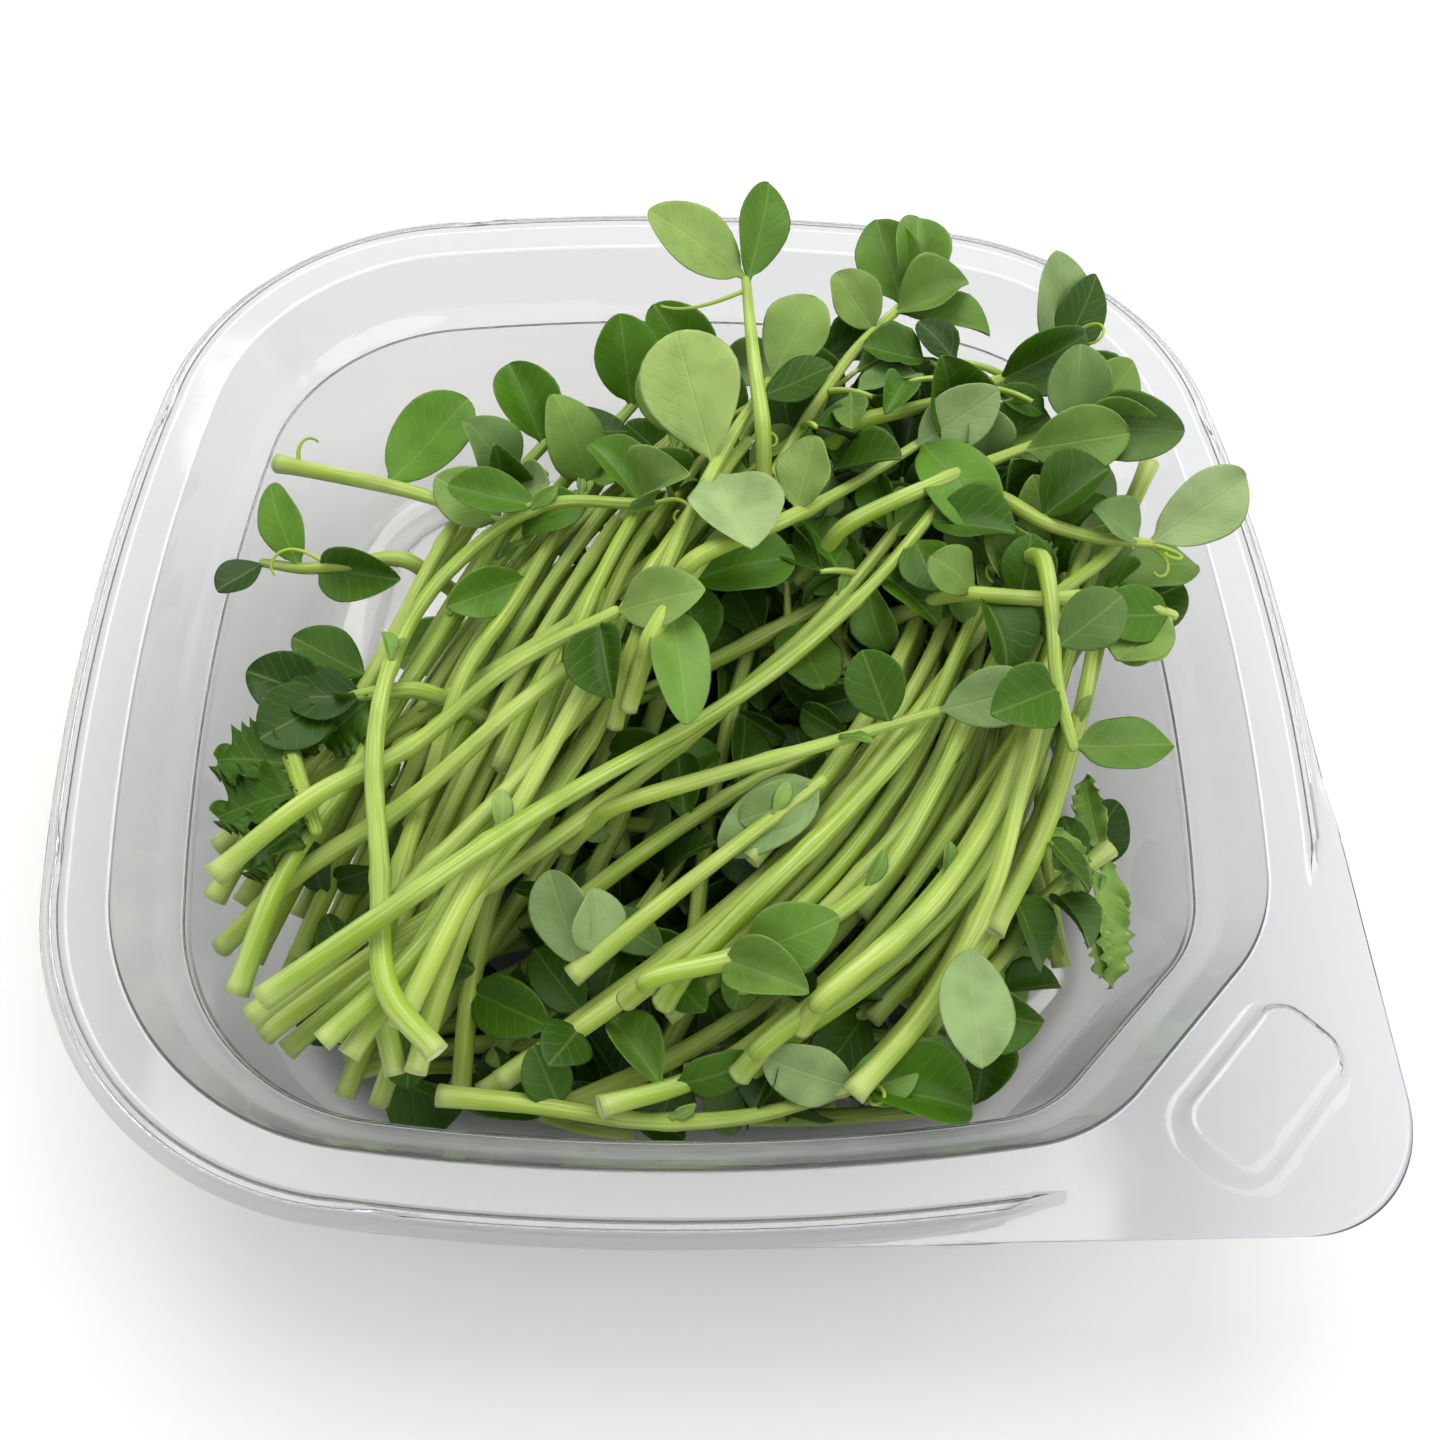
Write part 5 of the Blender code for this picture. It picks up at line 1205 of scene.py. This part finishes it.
def fresh_leaf():
    """Pea leaflet, fresh: the upper face deep to yellowish green with a thin wax bloom that greys it, the
    underside paler, greyer and quite matt, both with light veins: one down the middle and others that leave
    it forwards every 2 mm."""
    finish, surface = blank_finish("fresh_pea_leaf")
    lines, place, pale, vivid, under = grown_lines(finish)
    # mottling about 6 mm across
    mottle = add_node(finish, "ShaderNodeTexNoise", Vector=place, Scale=170.0, Detail=3.0).outputs[0]
    wander = add_node(finish, "ShaderNodeTexNoise", {"noise_dimensions": "2D"}, Vector=lines, Scale=0.35,
                      Detail=1.0).outputs[0]
    xy = add_node(finish, "ShaderNodeSeparateXYZ", i0=lines)
    off = work(finish, "ABSOLUTE", xy.outputs[1])
    # side veins every 2.1 mm along the leaf, sloping forwards, about 0.3 mm wide so that they show
    along = work(finish, "MULTIPLY_ADD", off, -1.05, xy.outputs[0])
    along = work(finish, "MULTIPLY_ADD", wander, 1.6, along)
    tooth = work(finish, "PINGPONG", work(finish, "DIVIDE", along, 1.05), 1.0)
    side_vein = work(finish, "MULTIPLY_ADD", tooth, -5.0, 1.0, clamp=True)
    mid_vein = work(finish, "MULTIPLY_ADD", off, -3.6, 1.1, clamp=True)
    vein = work(finish, "MAXIMUM", work(finish, "MULTIPLY", side_vein, 0.5), mid_vein)
    # below zero, paleness darkens a leaf towards a deep green; on the leaves deep in the heap and many in the
    # leafy mass that darkening is painted shade
    dark = work(finish, "MULTIPLY", pale, -1.6, clamp=True)
    light = work(finish, "MAXIMUM", pale, 0.0)
    top = join(finish, light, paint("#3f630f"), paint("#a0b56a"))
    top = join(finish, work(finish, "MULTIPLY", vivid, 0.6), top, paint("#4c820f"))
    low = join(finish, light, paint("#5c7a3e"), paint("#a0b57e"))
    green = join(finish, under, top, low)
    green = join(finish, dark, green, paint("#1f3a0a"))
    shade = work(finish, "MULTIPLY_ADD", mottle, -3.0, 1.8, clamp=True)
    green = join(finish, work(finish, "MULTIPLY", shade, 0.35), green, paint("#28480c"))
    green = join(finish, work(finish, "MULTIPLY", vein, 0.16), green, paint("#a3bb64"))
    finish.node_tree.links.new(green, surface.inputs["Base Color"])
    rough = work(finish, "MULTIPLY_ADD", under, 0.15, 0.42)
    finish.node_tree.links.new(rough, surface.inputs["Roughness"])
    height = work(finish, "MULTIPLY_ADD", vein, -1.0, work(finish, "MULTIPLY", mottle, 0.6))
    bump = add_node(finish, "ShaderNodeBump", Strength=0.4, Distance=0.0002, Height=height)
    finish.node_tree.links.new(bump.outputs[0], surface.inputs["Normal"])
    surface.inputs["IOR"].default_value = 1.42
    surface.inputs["Specular IOR Level"].default_value = 0.25
    surface.inputs["Subsurface Weight"].default_value = 0.12
    surface.inputs["Subsurface Radius"].default_value = (0.6, 1.0, 0.25)
    surface.inputs["Subsurface Scale"].default_value = 0.0008
    return finish


def clear_sheet():
    """Clear polyester sheet, heated and drawn into a mould: glass clear, glossy, with the slight haze and
    waviness of a stretched skin, with a faint grey cast up at the flange and paler and hazier down in the
    well, which is painted light on the well's shaded inside."""
    finish, surface = blank_finish("clear_drawn_polyester")
    place = add_node(finish, "ShaderNodeTexCoord").outputs["Object"]
    height = add_node(finish, "ShaderNodeSeparateXYZ", i0=place).outputs[2]
    # clearest up at the flange, and hazier, so whiter, down in the well: painted light on the well's shaded
    # inside
    clear = work(finish, "MULTIPLY_ADD", height, 1.2, 0.89, clamp=True)
    finish.node_tree.links.new(clear, surface.inputs["Transmission Weight"])
    # and paler in the well: painted light that lifts the shade that the heap and the walls cast there
    depth = work(finish, "MULTIPLY", height, 20.0, clamp=True)
    finish.node_tree.links.new(join(finish, depth, paint("#fdfdfd"), paint("#e2e3e6")),
                               surface.inputs["Base Color"])
    # waves about 12 mm across, left by the stretching
    waves = add_node(finish, "ShaderNodeTexNoise", Vector=place, Scale=85.0, Detail=1.0).outputs[0]
    bump = add_node(finish, "ShaderNodeBump", Strength=0.25, Distance=0.0003, Height=waves)
    finish.node_tree.links.new(bump.outputs[0], surface.inputs["Normal"])
    surface.inputs["Roughness"].default_value = 0.08
    surface.inputs["IOR"].default_value = 1.45
    return finish


def rounded_profile(corners):
    """The tray's profile as inset and height, each inner corner rounded by a curve that leaves the straight
    parts its radius away from it: (1-t)^2 a + 2t(1-t) corner + t^2 b."""
    corners = np.array(corners, float)
    place = corners[:, :2]
    t = np.linspace(0, 1, 5)[:, None]
    runs = [place[:1]]
    for before, corner, after, radius in zip(place[:-2], place[1:-1], place[2:], corners[1:-1, 2]):
        a = corner + unit(before - corner) * radius
        b = corner + unit(after - corner) * radius
        runs.append((1 - t) ** 2 * a + 2 * t * (1 - t) * corner + t ** 2 * b)
    runs.append(place[-1:])
    return np.concatenate(runs)


def closed_ring(plain, tab):
    """A closed ring of plan points: three like quarters and then the tab's own."""
    rows = []
    for turn in range(4):
        quarter = tab if turn == 3 else plain
        c, s = math.cos(turn * math.pi / 2), math.sin(turn * math.pi / 2)
        rows.append(np.column_stack((quarter[:-1, 0] * c - quarter[:-1, 1] * s,
                                     quarter[:-1, 0] * s + quarter[:-1, 1] * c)))
    return np.concatenate(rows)


def finer(quarter):
    """The tab's quarter with more points: their place t from -1 to 1 is carried to 0.6 t + 0.4 t^3, so that
    they are closest together at the diagonal."""
    t = np.linspace(-1, 1, TAB_POINTS)
    half = (len(quarter) - 1) / 2
    place = half * (1 + 0.6 * t + 0.4 * t ** 3)
    return resampled(quarter, np.arange(len(quarter)), place)


def flange_plan():
    """Rings of plan points from the outline to the edge of the well. They run along the bead, and share the
    tab out between its edge, the bead's own line and the well's cut corner."""
    bead_from, bead_to = BEAD_INSET
    rings = []
    for s in np.linspace(0, 1, LIP_RINGS, endpoint=False):
        tab = tab_quarter(0.0) * (1 - s) + rounded_quarter(bead_from) * s
        rings.append(closed_ring(rounded_quarter(bead_from * s), finer(tab)))
    for s in np.linspace(0, 1, BEAD_RINGS, endpoint=False):
        quarter = rounded_quarter(bead_from + (bead_to - bead_from) * s)
        rings.append(closed_ring(quarter, finer(quarter)))
    for s in np.linspace(0, 1, LEDGE_RINGS):
        tab = rounded_quarter(bead_to) * (1 - s) + cut_quarter_fine(LEDGE_INSET) * s
        rings.append(closed_ring(rounded_quarter(bead_to + (LEDGE_INSET - bead_to) * s), finer(tab)))
    return np.stack(rings)


def soft_step(value, low, high):
    """Zero below low, one above high, and smooth between."""
    t = np.clip((value - low) / (high - low), 0, 1)
    return t * t * (3 - 2 * t)


def flange_height(x, y):
    """Height of the flange over the rim: a lip that falls away at the outline, a rounded bead inside it,
    both fading out at the tab, and the button, a flat top with sloping sides."""
    inset = outline_inset(x, y)
    diagonal = (x - y) * math.sqrt(0.5)
    lip = -LIP_DROP * (1 - soft_step(inset, 0.0, LIP_INSET))
    lip = lip * (1 - soft_step(diagonal, TAB_FROM - TAB_FADE, TAB_FROM + TAB_FADE))
    bead = BEAD_RISE * soft_step(inset, BEAD_INSET[0], BEAD_TOP[0])
    bead = bead * (1 - soft_step(inset, BEAD_TOP[1], BEAD_INSET[1]))
    bead = bead * (1 - soft_step(diagonal, BEAD_FROM - BEAD_FADE, BEAD_FROM + BEAD_FADE))
    s = math.sqrt(0.5)
    p = np.abs(s * ((x - BUTTON_X) + (y - BUTTON_Y))) - (BUTTON_HALF_LENGTH - BUTTON_CORNER_R)
    q = np.abs(s * ((y - BUTTON_Y) - (x - BUTTON_X))) - (BUTTON_HALF_WIDTH - BUTTON_CORNER_R)
    outside = np.hypot(np.maximum(p, 0), np.maximum(q, 0)) + np.minimum(np.maximum(p, q), 0) - BUTTON_CORNER_R
    button = BUTTON_RISE * soft_step(-outside, 0.0, BUTTON_SLOPE + 0.4)
    return lip + bead + button


def tray_shell():
    """The tray: one closed skin, from the middle of the underside out to the rim and over the top back to the
    middle of the floor. The top is rings of plan points at heights worked out from the flange's own function
    and from a rounded profile down the well, and the underside is a wall's thickness square to it."""
    inset_rings = flange_plan()
    height = flange_height(inset_rings[..., 0], inset_rings[..., 1])
    flange = np.concatenate((inset_rings, (RIM_Z + height)[..., None]), axis=-1)
    well = []
    for inset, drop in rounded_profile(WELL_PROFILE)[1:]:
        plan = closed_ring(rounded_quarter(inset), finer(cut_quarter_fine(inset)))
        well.append(np.column_stack((plan, np.full(len(plan), RIM_Z + drop))))
    top = np.concatenate((flange, np.stack(well)))
    shrink = np.linspace(1, 0.04, FLOOR_RINGS)[1:, None, None]
    floor_rings = top[-1][None] * shrink + (1 - shrink) * (0, 0, WALL + FOOT_RISE)
    top = np.concatenate((top, floor_rings))
    closed = np.concatenate((top[:, -1:], top, top[:, :1]), axis=1)
    down = np.gradient(top, axis=0)
    round_it = (closed[:, 2:] - closed[:, :-2]) / 2
    normal = unit(np.cross(round_it, down))
    thick = SHEET + (WALL - SHEET) * soft_step(RIM_Z - top[..., 2:], 10, 45)
    under = top - normal * thick
    grid = np.concatenate((under[::-1], top))
    growth = Growth()
    grain = np.zeros((grid.shape[0], grid.shape[1] + 1, 2))
    growth.add(grid, grain, np.zeros(grid.shape), 0)
    return growth


def joints_of(points, draw):
    """Where a stem's joints are, as shares of its length."""
    length = length_of(points)
    joints = np.arange(1, int(length / JOINT_STEP) + 1) * JOINT_STEP
    joints = (joints + draw.uniform(-JOINT_SHIFT, JOINT_SHIFT)) / length
    return joints[(joints > 0.06) & (joints < 0.97)]


def finish_piece(growth, name, finishes, solid=None):
    """Makes a piece of the shoots, in place of its solid where it has one."""
    made = growth.piece(name, finishes)
    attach(made, "root")
    if solid:
        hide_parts(solid)


def grow_stem(growth, name, points, radii, draw):
    """One stem of a node, with its foot carried down where it has to be, its scales and, on some, a
    tendril at its tip."""
    joints = joints_of(points, draw)
    line = (points, radii)
    if name in SUNK:
        line = sunk(points, radii, 1.0, SUNK_R)
    elif name in SUNK_BUNDLE:
        line = sunk(points, radii, SUNK_SHARE, 1.0)
    stem(growth, *line, draw, joints)
    scale_leaves(growth, points, joints, draw)
    if not name.startswith("bunch") and draw.random() < TENDRIL_SHARE:
        ahead = points[-1] - points[-2]
        heading = math.atan2(ahead[1], ahead[0]) + draw.uniform(-0.5, 0.5)
        pitch = draw.uniform(0, 0.5)
        length = draw.uniform(8, 14)
        turn = draw.uniform(1.2, 2.1) * draw.choice((-1, 1))
        tendril(growth, points[-1], heading, pitch, length, turn, draw)


def grow_extras(growth, name, points, draw):
    """The crinkled leaves and the tendrils that stand out on a shoot."""
    for shoot, share, heading, pitch, length, width in FRILLS:
        if shoot == name:
            pose = (point_on(points, share), math.radians(heading), math.radians(pitch),
                    draw.uniform(-0.6, 0.6))
            look = (-0.35, 0.5, False) if "left" in shoot else (1.0, 1.0, False)
            leaf(growth, (length, width, 0.5, 0.05), pose, look, draw, rows=36, frill=0.2)
    for shoot, share, heading, pitch, length, turn in TENDRILS:
        if shoot == name:
            base = point_on(points, share)
            tendril(growth, base, math.radians(heading), math.radians(pitch), length, turn, draw)


def grow_sprig(growth, stalk, leaves, draw):
    """A side shoot in the leafy mass."""
    path, radius = smooth_path(stalk, np.linspace(0.7, 0.4, len(stalk)), 1.2)
    shares = np.broadcast_to((draw.uniform(0.2, 0.8), draw.uniform(0, 1), 0.0), (len(path), 3))
    bar(growth, path, radius, 8, shares)
    for form, pose in leaves:
        # about two thirds of the leaflets in the leafy mass are darkened: painted shade among its crowded
        # leaves
        look = painted_shade_look(draw) if draw.random() < 0.65 else None
        leaf(growth, form, pose, look, draw, rows=11, half=6)


def make_object():
    """Every piece of the object, each in place of its solid."""
    heap = Heap()
    nodes = lay_out(heap)
    draw = np.random.default_rng(41)
    finishes = (fresh_stem(), fresh_leaf())
    for name, (_, stems, leaves) in nodes.items():
        growth = Growth()
        for points, radii in stems:
            grow_stem(growth, name, points, radii, draw)
        for placed, look in leaves:
            if placed:
                leaf(growth, *placed, look, draw)
        grow_extras(growth, name, stems[0][0], draw)
        finish_piece(growth, f"fresh_{name}", finishes, name)
    room = Room(heap)
    loose = filling_stems(room, draw)
    growth = Growth()
    for points, radii in loose:
        stem(growth, points, radii, draw, joints_of(points, draw), spacing=2.2, around=9)
    finish_piece(growth, "filling_stems", finishes)
    every = [pair for _, stems, _ in nodes.values() for pair in stems] + loose
    growth = Growth()
    for stalk, leaves in sprigs(room, every, draw):
        grow_sprig(growth, stalk, leaves, draw)
    finish_piece(growth, "leafy_mass", finishes)
    growth = Growth()
    # every filling leaf is darkened to deep green: painted shade for the heap's inside
    for form, pose in filling_leaves(room, every, draw):
        leaf(growth, form, pose, painted_shade_look(draw), draw, rows=11, half=6)
    finish_piece(growth, "filling_leaves", finishes)
    tray = tray_shell().piece("clear_tray", (clear_sheet(),))
    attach(tray, "root")
    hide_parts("tray")


def stand(name, data, side, up, back, place):
    """Puts a lamp or a camera at a place, turned to three square directions."""
    made = bpy.data.objects.new(name, data)
    rows = np.column_stack((side, up, back, place))
    made.matrix_world = Matrix((*(tuple(row) for row in rows), (0, 0, 0, 1)))
    bpy.context.scene.collection.objects.link(made)
    return made


def soft_lamp(name, place, aim, size, power, colour):
    """A square studio lamp that faces a point."""
    lamp = bpy.data.lights.new(name, "AREA")
    lamp.shape = "SQUARE"
    lamp.size = size
    lamp.energy = power
    lamp.color = paint(colour)[:3]
    back = unit(np.array(place, float) - np.array(aim, float))
    side = unit(np.cross((0.0, 1.0, 0.001), back))
    stand(name, lamp, side, np.cross(back, side), back, place)


def studio():
    """A pale floor, soft light from above and behind, and an even pale surround."""
    mesh = bpy.data.meshes.new("floor")
    half = 3.0
    mesh.from_pydata([(-half, -half, -0.0002), (half, -half, -0.0002), (half, half, -0.0002),
                      (-half, half, -0.0002)], [], [(0, 1, 2, 3)])
    floor = bpy.data.objects.new("floor", mesh)
    bpy.context.scene.collection.objects.link(floor)
    finish, surface = blank_finish("pale_matt_floor")
    surface.inputs["Base Color"].default_value = paint("#dedede")
    surface.inputs["Roughness"].default_value = 0.9
    mesh.materials.append(finish)
    world = bpy.data.worlds.new("pale_surround")
    bpy.context.scene.world = world
    world.use_nodes = True
    surround = world.node_tree.nodes["Background"]
    surround.inputs["Color"].default_value = paint("#ffffff")
    surround.inputs["Strength"].default_value = 0.77
    soft_lamp("key", (-0.02, 0.42, 0.95), (0, 0, 0.03), 0.8, 8.5, "#fffdf8")
    soft_lamp("fill", (0.55, -0.35, 0.75), (0, 0, 0.03), 0.9, 3.6, "#ffffff")


def camera():
    """The photograph's viewpoint, fitted to the outline of the tray: how far it looks down, turns and
    leans, with a normal lens."""
    pitch, yaw, lean = 1.0349, 0.0769, 0.0701
    ahead = np.array((math.sin(yaw) * math.cos(pitch), math.cos(yaw) * math.cos(pitch), -math.sin(pitch)))
    right = np.array((math.cos(yaw), -math.sin(yaw), 0.0))
    up = np.cross(right, ahead)
    side = right * math.cos(lean) + up * math.sin(lean)
    over = up * math.cos(lean) - right * math.sin(lean)
    place = (-0.00488, -0.12712, 0.23293)
    lens = bpy.data.cameras.new("camera")
    lens.lens = 35.02
    lens.sensor_width = 36.0
    lens.clip_start = 0.01
    bpy.context.scene.camera = stand("camera", lens, side, over, -ahead, place)


make_object()
studio()
camera()
bpy.context.scene.view_settings.view_transform = "Standard"
bpy.context.scene.cycles.max_bounces = 12
bpy.context.scene.cycles.diffuse_bounces = 3
bpy.context.scene.cycles.transmission_bounces = 12
